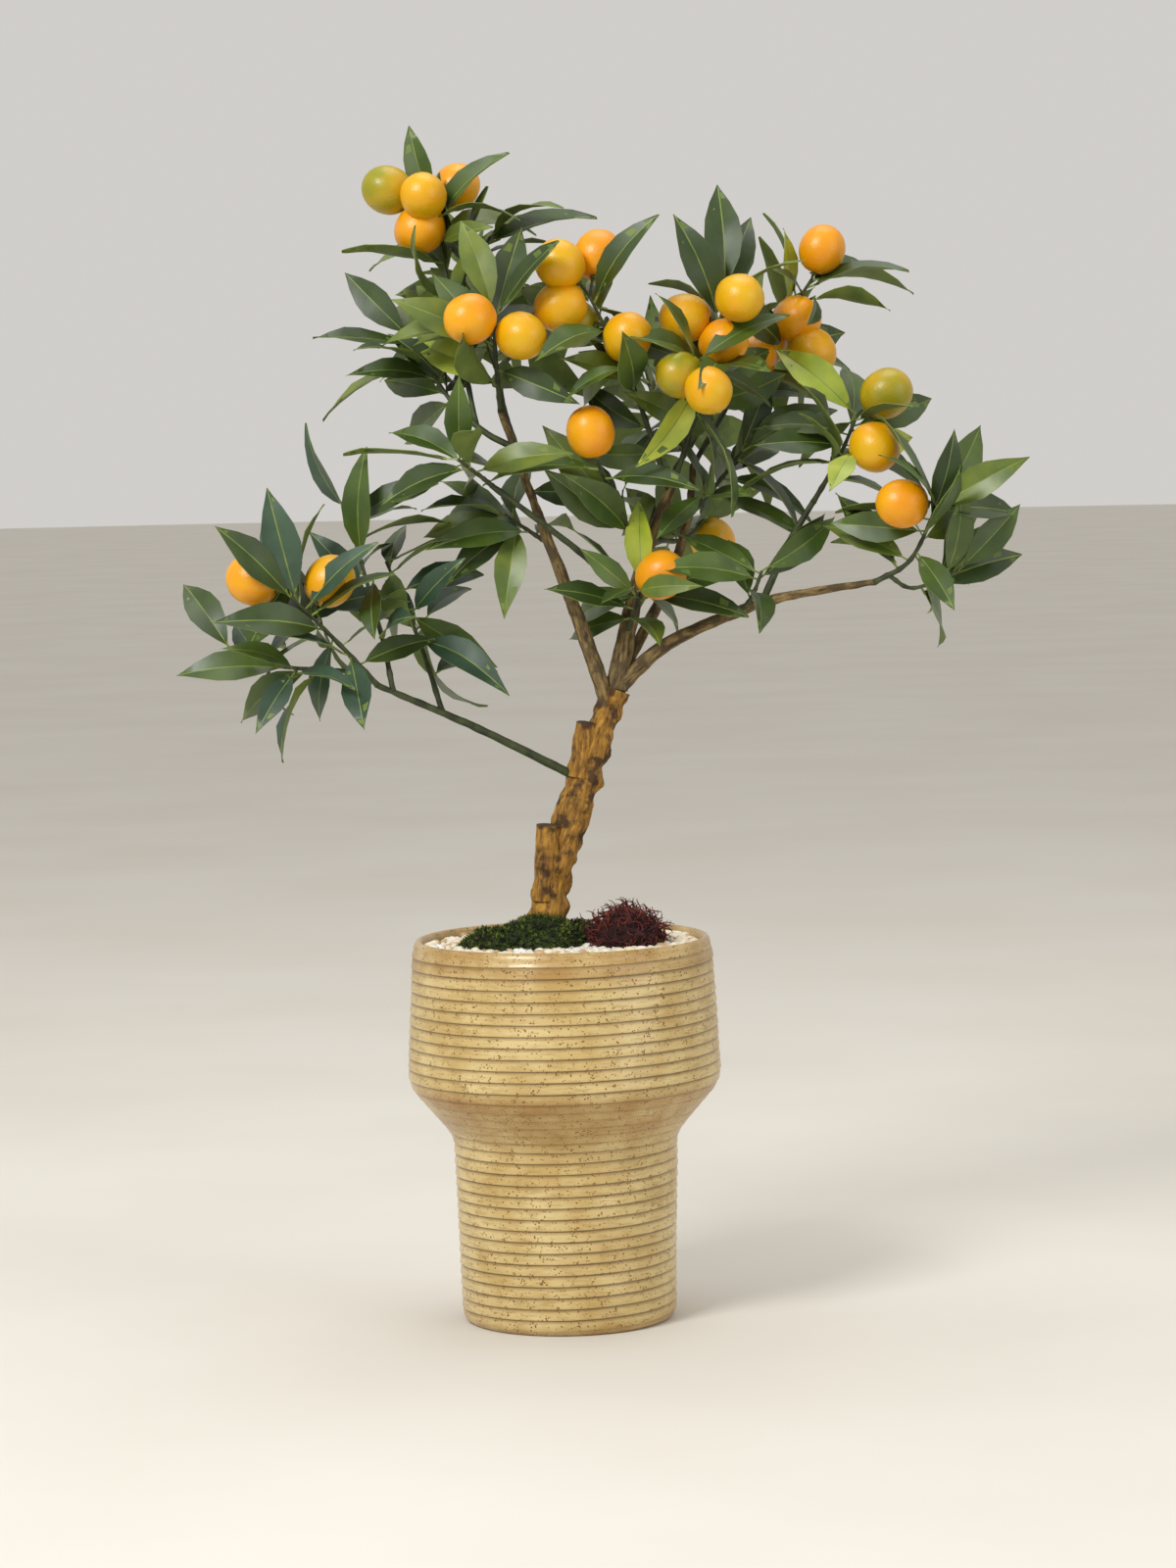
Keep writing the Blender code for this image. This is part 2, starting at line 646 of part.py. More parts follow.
def grow_leaves(name, shoot, route, rng, growth, others):
    """A shoot's leaves, each turned aside a little, or left out, where something is in its way."""
    heart = Vector((*CROWN_MIDDLE, route[-1].z - CROWN_DROOP))
    front = Vector((0, -1, 0)) if route[-1].y < BACK_STARTS else Vector((0, 1, 0))
    for root, wish, length in leaf_wishes(shoot, route, rng):
        outward = (root - heart).normalized() + front * OUTWARD_TURN
        for attempt in range(LEAF_ATTEMPTS):
            nudge = Vector([rng.uniform(-1, 1) for axis in range(3)]) * LEAF_NUDGE * attempt
            direction = (wish + nudge).normalized()
            face = leaf_face(direction, outward, rng.uniform(-LEAF_ROLL, LEAF_ROLL))
            whole = leaf_points(root, direction, face, length, 0, PROBE_SWELL)
            blade = leaf_points(root, direction, face, length, PROBE_START, PROBE_SWELL)
            if not touches(whole, others) and not touches(blade, growth.in_the_way):
                leaf_solid(f"{name}_leaf", leaf_points(root, direction, face, length), growth.additions)
                growth.in_the_way.append(BVHTree.FromPolygons(blade, LEAF_FACES))
                break


# What a mass has so far: its stem, its shoots' routes, the solids to fuse on, and what bars a leaf
Growth = namedtuple("Growth", "stem routes additions in_the_way")


def start_mass(name, mass, parts, twins):
    """A mass of foliage without its leaves: a stem with its twigs and fruit."""
    carrier = twins[mass.carrier]
    additions = new_collection(name + "_growth")
    stem_route = shoot_route(mass.stem, carrier.route)
    thick = min(carrier.tip_width, STEM_THICK)
    stem = tube(name, stem_route, tapered(stem_route, thick, TWIG_THIN), 3, parts)
    cut_clear(stem, [carrier.solid])
    routes = [stem_route]
    for index, twig in enumerate(mass.twigs):
        route = shoot_route(twig, stem_route)
        tube(f"{name}_twig_{index}", route, tapered(route, TWIG_THICK, TWIG_THIN), 3, additions)
        routes.append(route)
    fruit = []
    for shoot, route in zip((mass.stem, *mass.twigs), routes):
        fruit += grow_fruit(name, shoot, route, additions)
    return Growth(stem, routes, additions, fruit)


def leaf_mass(name, mass, growth, rng, others):
    """Grow a mass's leaves, and fuse them, its twigs and its fruit to its stem."""
    for shoot, route in zip((mass.stem, *mass.twigs), growth.routes):
        grow_leaves(name, shoot, route, rng, growth, others)
    return fused(growth.stem, growth.additions)


Twin = namedtuple("Twin", "solid route tip_width")


def make_twig_section(guides):
    """Three-sided outline, a millimetre in radius, that every twig is swept with."""
    outline = bpy.data.curves.new("twig_section", "CURVE")
    corners = outline.splines.new("POLY")
    corners.points.add(2)
    corners.use_cyclic_u = True
    for turn, corner in enumerate(corners.points):
        angle = math.tau * turn / 3
        corner.co = (math.cos(angle) * MM, math.sin(angle) * MM, 0, 1)
    section = add_object("twig_section", outline, guides)
    section.hide_render = True
    section.display_type = "WIRE"


def build():
    """The whole potted tree."""
    clear_scene()
    parts = new_collection("potted_kumquat_tree")
    guides = new_collection("clearance_guides")
    make_twig_section(guides)

    make_pot(parts).data.materials.append(finish(*STONEWARE))
    make_soil(parts).data.materials.append(finish(*SOIL))

    bark = finish(*BARK)
    trunk, trunk_twin = make_trunk(parts, guides)
    trunk.data.materials.append(bark)
    twins = {"trunk": trunk_twin}
    green, red = make_moss(parts, guides, trunk_twin.solid)
    green.data.materials.append(finish(*GREEN_MOSS))
    red.data.materials.append(finish(*RED_MOSS))

    solids = [trunk]
    for name, bough in BOUGHS.items():
        route = shoot_route(bough, twins[bough.carrier].route)
        widths = tapered(route, bough.thick, bough.thin)
        limb = tube(name, route, widths, bough.sides, parts)
        cut_clear(limb, [twins[other].solid for other in (bough.carrier, *bough.clear_of)])
        limb.data.materials.append(bark)
        solids.append(limb)
        twin = clearance_twin(name, route, widths, bough.sides, guides)
        twins[name] = Twin(twin, route, bough.thin)

    leaf = finish(*LEAF)
    growths = {name: start_mass(name, mass, parts, twins) for name, mass in MASSES.items()}
    frames = {}
    for name, growth in growths.items():
        frames[name] = [mesh_tree(solid) for solid in (growth.stem, *growth.additions.objects)]
    taken = [mesh_tree(solid) for solid in solids]
    for index, (name, mass) in enumerate(MASSES.items()):
        del frames[name]
        others = sum(frames.values(), taken)
        foliage = leaf_mass(name, mass, growths[name], random.Random(GROWTH_SEED + index), others)
        foliage.data.materials.append(leaf)
        taken.append(mesh_tree(foliage))


build()
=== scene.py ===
# %% [markdown]
# # A kumquat tree in a stoneware pot
#
# This lesson dresses a plain model of a small fruit tree until it looks real. The plain model,
# called the frame, says where everything is. Each step makes one piece: the thrown pot, the
# pebbles and moss, the bark, the twigs, the leaves and the fruit. A step first says what the
# piece is on the real tree, how it could be made, and why it is made this way here.

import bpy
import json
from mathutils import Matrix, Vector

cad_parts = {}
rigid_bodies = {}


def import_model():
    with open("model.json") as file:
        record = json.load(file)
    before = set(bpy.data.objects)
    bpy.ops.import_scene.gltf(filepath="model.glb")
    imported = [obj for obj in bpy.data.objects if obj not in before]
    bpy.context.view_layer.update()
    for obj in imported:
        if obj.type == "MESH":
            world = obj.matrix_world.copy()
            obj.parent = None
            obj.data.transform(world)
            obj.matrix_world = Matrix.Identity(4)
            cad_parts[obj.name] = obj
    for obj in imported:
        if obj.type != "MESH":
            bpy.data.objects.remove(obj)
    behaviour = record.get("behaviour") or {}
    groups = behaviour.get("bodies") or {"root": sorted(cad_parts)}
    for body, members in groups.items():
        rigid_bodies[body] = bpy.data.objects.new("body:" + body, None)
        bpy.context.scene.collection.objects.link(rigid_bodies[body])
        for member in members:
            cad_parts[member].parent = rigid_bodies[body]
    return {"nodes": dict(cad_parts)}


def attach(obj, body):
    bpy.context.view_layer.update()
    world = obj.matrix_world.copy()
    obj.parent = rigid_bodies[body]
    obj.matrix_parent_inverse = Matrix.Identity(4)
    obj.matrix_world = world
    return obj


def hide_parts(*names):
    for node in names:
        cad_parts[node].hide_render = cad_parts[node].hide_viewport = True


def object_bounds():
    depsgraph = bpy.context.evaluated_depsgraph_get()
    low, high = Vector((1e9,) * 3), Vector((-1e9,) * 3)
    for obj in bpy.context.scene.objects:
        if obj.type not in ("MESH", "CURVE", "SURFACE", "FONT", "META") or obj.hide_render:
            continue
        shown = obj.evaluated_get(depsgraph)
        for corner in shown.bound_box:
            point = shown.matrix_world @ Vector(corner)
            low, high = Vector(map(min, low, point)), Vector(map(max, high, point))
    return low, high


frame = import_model()
cad_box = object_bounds()
print("Frame loaded, nodes:", len(frame["nodes"]))

# %% Modules and units
import json
import math
import random
from collections import namedtuple

import bmesh
import bpy
from mathutils import Matrix, Vector, noise
from mathutils.bvhtree import BVHTree

MM = 0.001
CLEAR = 0.3
print("Sizes below are in millimetres, and 1 mm is", MM, "of Blender's units")

# %% [markdown]
# ## Small helpers
#
# Colours are easiest to choose as the hex values that a paint program shows. Blender's shaders
# want linear light instead, so one function turns the one into the other. A second function adds
# a node to any node tree, shader or geometry, with its settings and its links in one line. A third
# one gives the scale that makes a texture's cells as large as the real grain, and a fourth starts
# a material.

# %% Colour, node and scale helpers


def colour(hex_value):
    """Linear colour of an sRGB hex value such as "#D8BC82"."""
    channels = [int(hex_value[place:place + 2], 16) / 255 for place in (1, 3, 5)]
    linear = [c / 12.92 if c <= 0.04045 else ((c + 0.055) / 1.055) ** 2.4 for c in channels]
    return (*linear, 1.0)


def add_node(tree, kind, inputs=None, **settings):
    """Add a node with its settings. An input is given as a value, or as a socket to link to."""
    node = tree.nodes.new(kind)
    for name, value in settings.items():
        setattr(node, name, value)
    for place, value in (inputs or {}).items():
        if isinstance(value, bpy.types.NodeSocket):
            tree.links.new(value, node.inputs[place])
        else:
            node.inputs[place].default_value = value
    return node


def cells_of(size):
    """Texture scale that makes a cell this many millimetres wide."""
    return 1 / (size * MM)


# A Mix node set to colours has its two colours and its result at these places
MIX_FIRST, MIX_SECOND, MIX_RESULT = 6, 7, 2
# A Map Range node has the ends of what it reads, and of what it gives, at these
FROM_LEAST, FROM_MOST, TO_LEAST, TO_MOST = 1, 2, 3, 4


def new_finish(name, **constants):
    """Material with a Principled BSDF whose constants are set on its own sockets."""
    material = bpy.data.materials.new(name)
    material.use_nodes = True
    shader = material.node_tree.nodes["Principled BSDF"]
    for label, value in constants.items():
        shader.inputs[label.replace("_", " ")].default_value = value
    return material, material.node_tree, shader


print("White paper, as a shader sees it:", [round(c, 2) for c in colour("#F2EFE8")])

# %% [markdown]
# ## Geometry Nodes as rules
#
# What repeats over a surface, such as leaves, pebbles and moss, is set out by Geometry Nodes. A
# rule here is a node tree with named inputs. It puts small shapes on points, makes them real
# faces, and gives each face its material by a number that the small shapes carry, called their
# tone. The result is turned into a plain mesh at once, so nothing live is left behind.

# %% Begin and end a rule

TONES = 3
# A Compare node set to whole numbers has what it compares at these places
WHOLE_FIRST, WHOLE_SECOND = 2, 3


def new_rule(name, inputs):
    """Geometry Nodes tree with named inputs, given as name and socket type."""
    tree = bpy.data.node_groups.new(name, "GeometryNodeTree")
    tree.interface.new_socket("Geometry", in_out="INPUT", socket_type="NodeSocketGeometry")
    for label, kind in inputs.items():
        tree.interface.new_socket(label, in_out="INPUT", socket_type="NodeSocket" + kind)
    tree.interface.new_socket("Geometry", in_out="OUTPUT", socket_type="NodeSocketGeometry")
    return tree, tree.nodes.new("NodeGroupInput")


def end_rule(tree, start, geometry):
    """Make the instances real, give every tone its finish and end the tree."""
    geometry = add_node(tree, "GeometryNodeRealizeInstances", {"Geometry": geometry}).outputs[0]
    tone = add_node(tree, "GeometryNodeInputNamedAttribute", {"Name": "tone"}, data_type="INT")
    for number in range(TONES):
        same = add_node(tree, "FunctionNodeCompare", {
            WHOLE_FIRST: tone.outputs[0], WHOLE_SECOND: number}, data_type="INT", operation="EQUAL")
        chosen = {"Geometry": geometry, "Selection": same.outputs[0],
                  "Material": start.outputs[f"Finish {number}"]}
        geometry = add_node(tree, "GeometryNodeSetMaterial", chosen).outputs[0]
    add_node(tree, "NodeGroupOutput", {0: geometry})


print("Tones that a rule gives finishes to:", TONES)

# %% Run a rule on a piece


def follow_rule(piece, tree, values):
    """Run a rule on a piece and keep its result as the piece's plain mesh."""
    modifier = piece.modifiers.new(tree.name, "NODES")
    modifier.node_group = tree
    for item in tree.interface.items_tree:
        if item.in_out == "INPUT" and item.name in values:
            modifier[item.identifier] = values[item.name]
    depsgraph = bpy.context.evaluated_depsgraph_get()
    mesh = bpy.data.meshes.new_from_object(piece.evaluated_get(depsgraph))
    piece.modifiers.clear()
    piece.data = mesh
    return piece


FINISHES = {f"Finish {number}": "Material" for number in range(TONES)}


def by_tone(*materials):
    """A rule's inputs for the finishes of its shapes, in the order of their tones."""
    return dict(zip(FINISHES, materials))


print("A rule's finishes:", list(FINISHES))

# %% Rule that puts shapes on points


def placing_rule():
    """Rule that puts a shape on every point, turned, sized and chosen by the point's attributes."""
    tree, start = new_rule("Placed shapes", {"Shapes": "Collection", **FINISHES})
    shapes = add_node(tree, "GeometryNodeCollectionInfo", {
        "Collection": start.outputs["Shapes"], "Separate Children": True, "Reset Children": True})
    told = {}
    for label, kind in (("turn", "FLOAT_VECTOR"), ("size", "FLOAT"), ("kind", "INT")):
        told[label] = add_node(
            tree, "GeometryNodeInputNamedAttribute", {"Name": label}, data_type=kind).outputs[0]
    rotation = add_node(tree, "FunctionNodeEulerToRotation", {0: told["turn"]})
    placed = add_node(tree, "GeometryNodeInstanceOnPoints", {
        "Points": start.outputs["Geometry"], "Instance": shapes.outputs[0], "Pick Instance": True,
        "Instance Index": told["kind"], "Rotation": rotation.outputs[0], "Scale": told["size"]})
    end_rule(tree, start, placed.outputs[0])
    return tree


place_shapes = placing_rule()
print("Rule:", place_shapes.name)

# %% Rule that scatters shapes

# A scattering stops at this many points to a square metre
MOST_POINTS = 4e5
# A Random Value node set to floats has its limits and its result at these places
LEAST, GREATEST, RANDOM_FLOAT = 2, 3, 1


def scattering_rule():
    """Rule that scatters shapes over a surface, standing on it, each turned and sized at random."""
    tree, start = new_rule("Scattered shapes", {
        "Shapes": "Collection", "Spacing": "Float", "Least size": "Float", "Greatest size": "Float",
        "Tilt": "Float", "Seed": "Int", **FINISHES})
    shapes = add_node(tree, "GeometryNodeCollectionInfo", {
        "Collection": start.outputs["Shapes"], "Separate Children": True, "Reset Children": True})
    points = add_node(tree, "GeometryNodeDistributePointsOnFaces", {
        "Mesh": start.outputs["Geometry"], "Distance Min": start.outputs["Spacing"],
        "Density Max": MOST_POINTS, "Seed": start.outputs["Seed"]}, distribute_method="POISSON")
    size = add_node(tree, "FunctionNodeRandomValue", {
        LEAST: start.outputs["Least size"], GREATEST: start.outputs["Greatest size"],
        "Seed": start.outputs["Seed"]}, data_type="FLOAT")
    tilt = start.outputs["Tilt"]
    back = add_node(tree, "ShaderNodeMath", {0: tilt, 1: -1.0}, operation="MULTIPLY").outputs[0]
    spins = []
    for seed, (least, greatest) in enumerate(((back, tilt), (back, tilt), (0.0, math.tau)), 1):
        spin = add_node(tree, "FunctionNodeRandomValue", {
            LEAST: least, GREATEST: greatest, "Seed": seed}, data_type="FLOAT")
        spins.append(spin.outputs[RANDOM_FLOAT])
    euler = add_node(tree, "ShaderNodeCombineXYZ", dict(enumerate(spins)))
    spin = add_node(tree, "FunctionNodeEulerToRotation", {0: euler.outputs[0]})
    rotation = add_node(tree, "FunctionNodeRotateRotation", {
        0: points.outputs["Rotation"], 1: spin.outputs[0]}, rotation_space="LOCAL")
    placed = add_node(tree, "GeometryNodeInstanceOnPoints", {
        "Points": points.outputs["Points"], "Instance": shapes.outputs[0], "Pick Instance": True,
        "Rotation": rotation.outputs[0], "Scale": size.outputs[RANDOM_FLOAT]})
    end_rule(tree, start, placed.outputs[0])
    return tree


scatter_shapes = scattering_rule()
print("Rule:", scatter_shapes.name)

# %% [markdown]
# ## Meshes and finished pieces
#
# Small shapes live in a collection of their own, outside the scene, so only their copies show.
# Every finished piece sits at the origin, hides the plain solids that it stands for and moves with
# its body.

# %% Mesh and piece helpers


def mesh_of(name, points, faces, sharp_angle=None):
    """Smooth mesh from points in metres, with edges kept sharp past an angle in degrees."""
    mesh = bpy.data.meshes.new(name)
    mesh.from_pydata(points, [], faces)
    mesh.validate()
    mesh.shade_smooth()
    if sharp_angle:
        mesh.set_sharp_from_angle(angle=math.radians(sharp_angle))
    return mesh


def mesh_from(bm, name, smooth=False):
    """Mesh from Blender's editing form, which is freed."""
    mesh = bpy.data.meshes.new(name)
    bm.to_mesh(mesh)
    bm.free()
    if smooth:
        mesh.shade_smooth()
    return mesh


def new_piece(name, mesh):
    """Object in the scene for a mesh."""
    piece = bpy.data.objects.new(name, mesh)
    bpy.context.scene.collection.objects.link(piece)
    return piece


def set_tones(mesh, tones):
    """Give a small shape's faces their tones."""
    mesh.attributes.new("tone", "INT", "FACE").data.foreach_set("value", tones)


def shape_collection(name, meshes):
    """Collection of small shapes for a rule to pick from."""
    collection = bpy.data.collections.new(name)
    for number, mesh in enumerate(meshes):
        collection.objects.link(bpy.data.objects.new(f"{name}_{number:02d}", mesh))
    return collection


def finish_piece(piece, slot, *nodes):
    """Hide the plain solids that a piece stands for and let it move with the whole. The slot is not
    used.
    """
    if nodes:
        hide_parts(*nodes)
    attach(piece, "root")
    print(f"{piece.name}: {len(piece.data.polygons)} faces")


# %% [markdown]
# ## The pot's outline
#
# The pot is thrown on a wheel: a wide bowl drawn in under its belly to a narrower foot. Turning a
# profile gives such a shape. The corners below are the same named sizes that the frame was built
# from, and each is rounded with an arc. Where the ridges are full, the wall is drawn in by their
# depth, so that they end at the pot's true outline.

# %% Outline from corners and roundings

POT_HEIGHT = 244
POT_WALL = 6.5
LIP_HEIGHT = 7
RIM_RADIUS = 94.5
BOWL_RADIUS = 100.2
BOWL_HEIGHT = 152
BOWL_ROUND = 24
NECK_RADIUS = 70.9
NECK_HEIGHT = 118
NECK_ROUND = 21
FOOT_RADIUS = 67
FOOT_ROUND = 4
# The underside is flat from here inwards
UNDERSIDE_RADIUS = FOOT_RADIUS - 12
ARC_STEPS = 16
RIDGE_DEPTH = 1.1


def rounded(corners, steps):
    """Profile through corners of radius, height and rounding, with each rounding as an arc."""
    profile = [Vector(corners[0][:2])]
    for before, (radius, height, rounding), after in zip(corners, corners[1:], corners[2:]):
        corner = Vector((radius, height))
        arrive = (corner - Vector(before[:2])).normalized()
        leave = (Vector(after[:2]) - corner).normalized()
        turn = arrive.angle_signed(leave)
        start = corner - arrive * rounding * math.tan(abs(turn) / 2)
        side = Vector((arrive.y, -arrive.x)) * math.copysign(rounding, turn)
        for step in range(steps + 1):
            bend = abs(turn) * step / steps
            profile.append(start + arrive * rounding * math.sin(bend) + side * (1 - math.cos(bend)))
    profile.append(Vector(corners[-1][:2]))
    return profile


wall_side = rounded((
    (RIM_RADIUS, POT_HEIGHT - LIP_HEIGHT, 0),
    (BOWL_RADIUS - RIDGE_DEPTH, BOWL_HEIGHT, BOWL_ROUND),
    (NECK_RADIUS - RIDGE_DEPTH / 2, NECK_HEIGHT, NECK_ROUND),
    (FOOT_RADIUS, 0, FOOT_ROUND),
    (UNDERSIDE_RADIUS, 0, 0),
), ARC_STEPS)
wall_lengths = [0.0]
for start, stop in zip(wall_side, wall_side[1:]):
    wall_lengths.append(wall_lengths[-1] + (stop - start).length)
print("The wall's outline is", round(wall_lengths[-1]), "mm long")

# %% [markdown]
# ## The ridges that the fingers left
#
# A potter's tool, drawn up the turning wall, leaves one long spiral: every band swells towards a
# sharp lower edge and then steps in. A stack of rings would be easier, but the eye sees that real
# throwing lines climb. So the mesh itself is a strip wound round the pot, whose rows run along the
# spiral. The rows crowd at the sharp edge, and a Geometry Nodes rule pushes them out by a curve.

# %% How strong the ridges are, and how warm the glaze is, at a height

wall_end = wall_lengths[-1]
# Heights where the ridges fade out: near the underside, near the lip, and on the cone
FOOT_FADE = (2, 5)
LIP_FADE = (240, 6)
CONE_FADE = (135, 24)
CONE_LOSS = 0.72
CONE_PLATEAU = 1.5
# Heights where the glaze breaks to warm brown, each with its reach and its strength
WARM_CONE = (134, 26)
WARM_EDGES = ((0, 9), (232, 10), (149, 8))
WARM_CONE_SHARE = 0.8
WARM_EDGE_SHARE = 0.9


def wall_place(along):
    """Radius and height a given length down the wall's outline."""
    along = min(max(along, 0), wall_end)
    for number in range(len(wall_side) - 1):
        if along <= wall_lengths[number + 1]:
            break
    stretch = max(wall_lengths[number + 1] - wall_lengths[number], 1e-9)
    return wall_side[number].lerp(wall_side[number + 1], (along - wall_lengths[number]) / stretch)


def nearness(height, middle, reach):
    """One at the middle height, falling evenly to nothing a reach away."""
    return max(0, 1 - abs(height - middle) / reach)


def ridge_strength(height):
    """Ridges are full on the bowl and foot, and faint on the cone between them and at the ends."""
    low = max(0, (height - FOOT_FADE[0]) / FOOT_FADE[1])
    high = max(0, (LIP_FADE[0] - height) / LIP_FADE[1])
    cone = min(1, CONE_PLATEAU * nearness(height, *CONE_FADE))
    return (1 - CONE_LOSS * cone) * min(1, low, high)


print("Ridges on the bowl and on the cone:", ridge_strength(200), round(ridge_strength(135), 2))

# %% Wind the wall as one strip

RIDGE_PITCH = 7.1
COLUMNS = 160
# Where the rows lie within one band, from its step to its sharp lower edge
BAND_ROWS = (0.0, 0.14, 0.32, 0.5, 0.68, 0.83, 0.91, 0.96)


def ring_place(radius, height, share):
    """Point of a ring in metres, a share of the way round."""
    angle = math.tau * share
    return radius * math.cos(angle) * MM, radius * math.sin(angle) * MM, height * MM


turns = math.ceil(wall_end / RIDGE_PITCH) + 1
rows = [turn + share for turn in range(-1, turns) for share in BAND_ROWS]
points, bands, strengths, warmths = [], [], [], []
for row in rows:
    for column in range(COLUMNS):
        along = (row + 1 - column / COLUMNS) * RIDGE_PITCH
        radius, height = wall_place(along)
        points.append(ring_place(radius, height, column / COLUMNS))
        bands.append(row % 1)
        strengths.append(ridge_strength(height) if 0 < along < wall_end else 0)
        edges = max(nearness(height, *edge) for edge in WARM_EDGES)
        warmths.append(min(1, WARM_CONE_SHARE * nearness(height, *WARM_CONE) + WARM_EDGE_SHARE * edges))

faces = []
for row in range(len(rows) - 1):
    for column in range(COLUMNS - 1):
        corner = row * COLUMNS + column
        faces.append((corner, corner + COLUMNS, corner + COLUMNS + 1, corner + 1))
    corner = row * COLUMNS + COLUMNS - 1
    lap = (row - len(BAND_ROWS)) * COLUMNS
    if lap >= 0:
        faces.append((corner, corner + COLUMNS, lap + COLUMNS, lap))
print("Wall strip:", len(rows), "rows,", len(faces), "faces")

# %% [markdown]
# The strip's first and last lap run past the ends of the outline, where all their rows fall
# together. Merging points that share a place closes both ends. The lip, the inside and the
# underside are turned as plain rings and merged on, so the pot is one closed skin.

# %% Close the skin with its lip, inside and underside


def ring_faces(first, second, count):
    """Quads between two rings of points."""
    return [(first + n, second + n, second + (n + 1) % count, first + (n + 1) % count)
            for n in range(count)]


RIM_STEPS = 8
INSIDE_DEPTH = 30
RIM_WARMTH, UNDERSIDE_WARMTH = 0.75, 0.5
MERGE_DISTANCE = 1e-6
wall_top = wall_place(0)
lip_middle = RIM_RADIUS - POT_WALL / 2
plain_profile = [(wall_top.x, wall_top.y)]
for step in range(1, RIM_STEPS):
    angle = math.pi * step / RIM_STEPS
    height = POT_HEIGHT - LIP_HEIGHT * (1 - math.sin(angle))
    plain_profile.append((lip_middle + POT_WALL / 2 * math.cos(angle), height))
inside_radius = RIM_RADIUS - POT_WALL
inside_floor = POT_HEIGHT - INSIDE_DEPTH
plain_profile += [(inside_radius, wall_top.y), (inside_radius, inside_floor), (0, inside_floor)]
underside_profile = [(0, 0), (wall_place(wall_end).x, 0)]
for profile, warmth in ((plain_profile, RIM_WARMTH), (underside_profile, UNDERSIDE_WARMTH)):
    for number, (radius, height) in enumerate(profile):
        first = len(points)
        points += [ring_place(radius, height, column / COLUMNS) for column in range(COLUMNS)]
        bands += [0] * COLUMNS
        strengths += [0] * COLUMNS
        warmths += [warmth] * COLUMNS
        if number:
            faces += ring_faces(first, first - COLUMNS, COLUMNS)

pot_mesh = mesh_of("pot_wall", points, faces)
for label, values in (("band", bands), ("ridge", strengths), ("warmth", warmths)):
    pot_mesh.attributes.new(label, "FLOAT", "POINT").data.foreach_set("value", values)
bm = bmesh.new()
bm.from_mesh(pot_mesh)
bmesh.ops.remove_doubles(bm, verts=bm.verts, dist=MERGE_DISTANCE)
bmesh.ops.dissolve_degenerate(bm, edges=bm.edges, dist=MERGE_DISTANCE / 10)
bmesh.ops.holes_fill(bm, edges=[edge for edge in bm.edges if edge.is_boundary])
bmesh.ops.recalc_face_normals(bm, faces=bm.faces)
open_edges = sum(edge.is_boundary for edge in bm.edges)
bm.to_mesh(pot_mesh)
bm.free()
print("Pot skin:", len(pot_mesh.polygons), "faces,", open_edges, "open edges")

# %% [markdown]
# The stoneware is a sandy clay under a thin glossy glaze. Iron in the clay bleeds through as fine
# brown specks, and the glaze runs off edges, where it breaks to brown. The step under each ridge's
# sharp edge is painted dark brown as painted shade, for the shadow line that falls there. The rule
# stores how deep each point sits in a step, and the finish paints that shade. The specks are about
# 0.4 mm on the real pot and are drawn a little coarser, so that they show from a step away.

# %% Glazed stoneware

# Streaks are rubbed on round the pot, so their cells are this much flatter than wide
STREAK_SQUASH = (1, 1, 7)
# How strongly the warm heights show through the clouds
WARMTH_GAIN = 1.1
glaze, tree, shader = new_finish("speckled_stoneware_glaze", Roughness=0.36, Coat_Weight=0.25,
                                 Coat_Roughness=0.12, IOR=1.5)
place = add_node(tree, "ShaderNodeTexCoord").outputs["Object"]
# How deep a point is in a step, which the glaze darkens as painted shade
groove = add_node(tree, "ShaderNodeAttribute", attribute_name="groove")
warmth = add_node(tree, "ShaderNodeAttribute", attribute_name="warmth")
clouds = add_node(tree, "ShaderNodeTexNoise", {"Vector": place, "Scale": cells_of(26), "Detail": 4.0})
streak_place = add_node(tree, "ShaderNodeMapping", {"Vector": place, "Scale": STREAK_SQUASH})
streaks = add_node(tree, "ShaderNodeTexNoise", {
    "Vector": streak_place.outputs[0], "Scale": cells_of(12), "Detail": 5.0})
cloudy = add_node(tree, "ShaderNodeMapRange", {0: clouds.outputs[0], FROM_LEAST: 0.35, FROM_MOST: 0.68})
streaky = add_node(tree, "ShaderNodeMapRange", {
    0: streaks.outputs[0], FROM_LEAST: 0.5, FROM_MOST: 0.72, TO_MOST: 0.55})
warm_part = add_node(tree, "ShaderNodeMath", {0: warmth.outputs["Fac"], 1: clouds.outputs[0]},
                     operation="MULTIPLY")
warm = add_node(tree, "ShaderNodeMath", {0: warm_part.outputs[0], 1: WARMTH_GAIN},
                operation="MULTIPLY", use_clamp=True)
speck_cells = add_node(tree, "ShaderNodeTexVoronoi", {"Vector": place, "Scale": cells_of(1.7)})
speck_patches = add_node(tree, "ShaderNodeTexNoise", {"Vector": place, "Scale": cells_of(4)})
speck_size = add_node(tree, "ShaderNodeMapRange", {
    0: speck_patches.outputs[0], FROM_LEAST: 0.36, FROM_MOST: 0.66, TO_MOST: 0.4})
speck = add_node(tree, "ShaderNodeMath", {0: speck_cells.outputs["Distance"], 1: speck_size.outputs[0]},
                 operation="LESS_THAN")
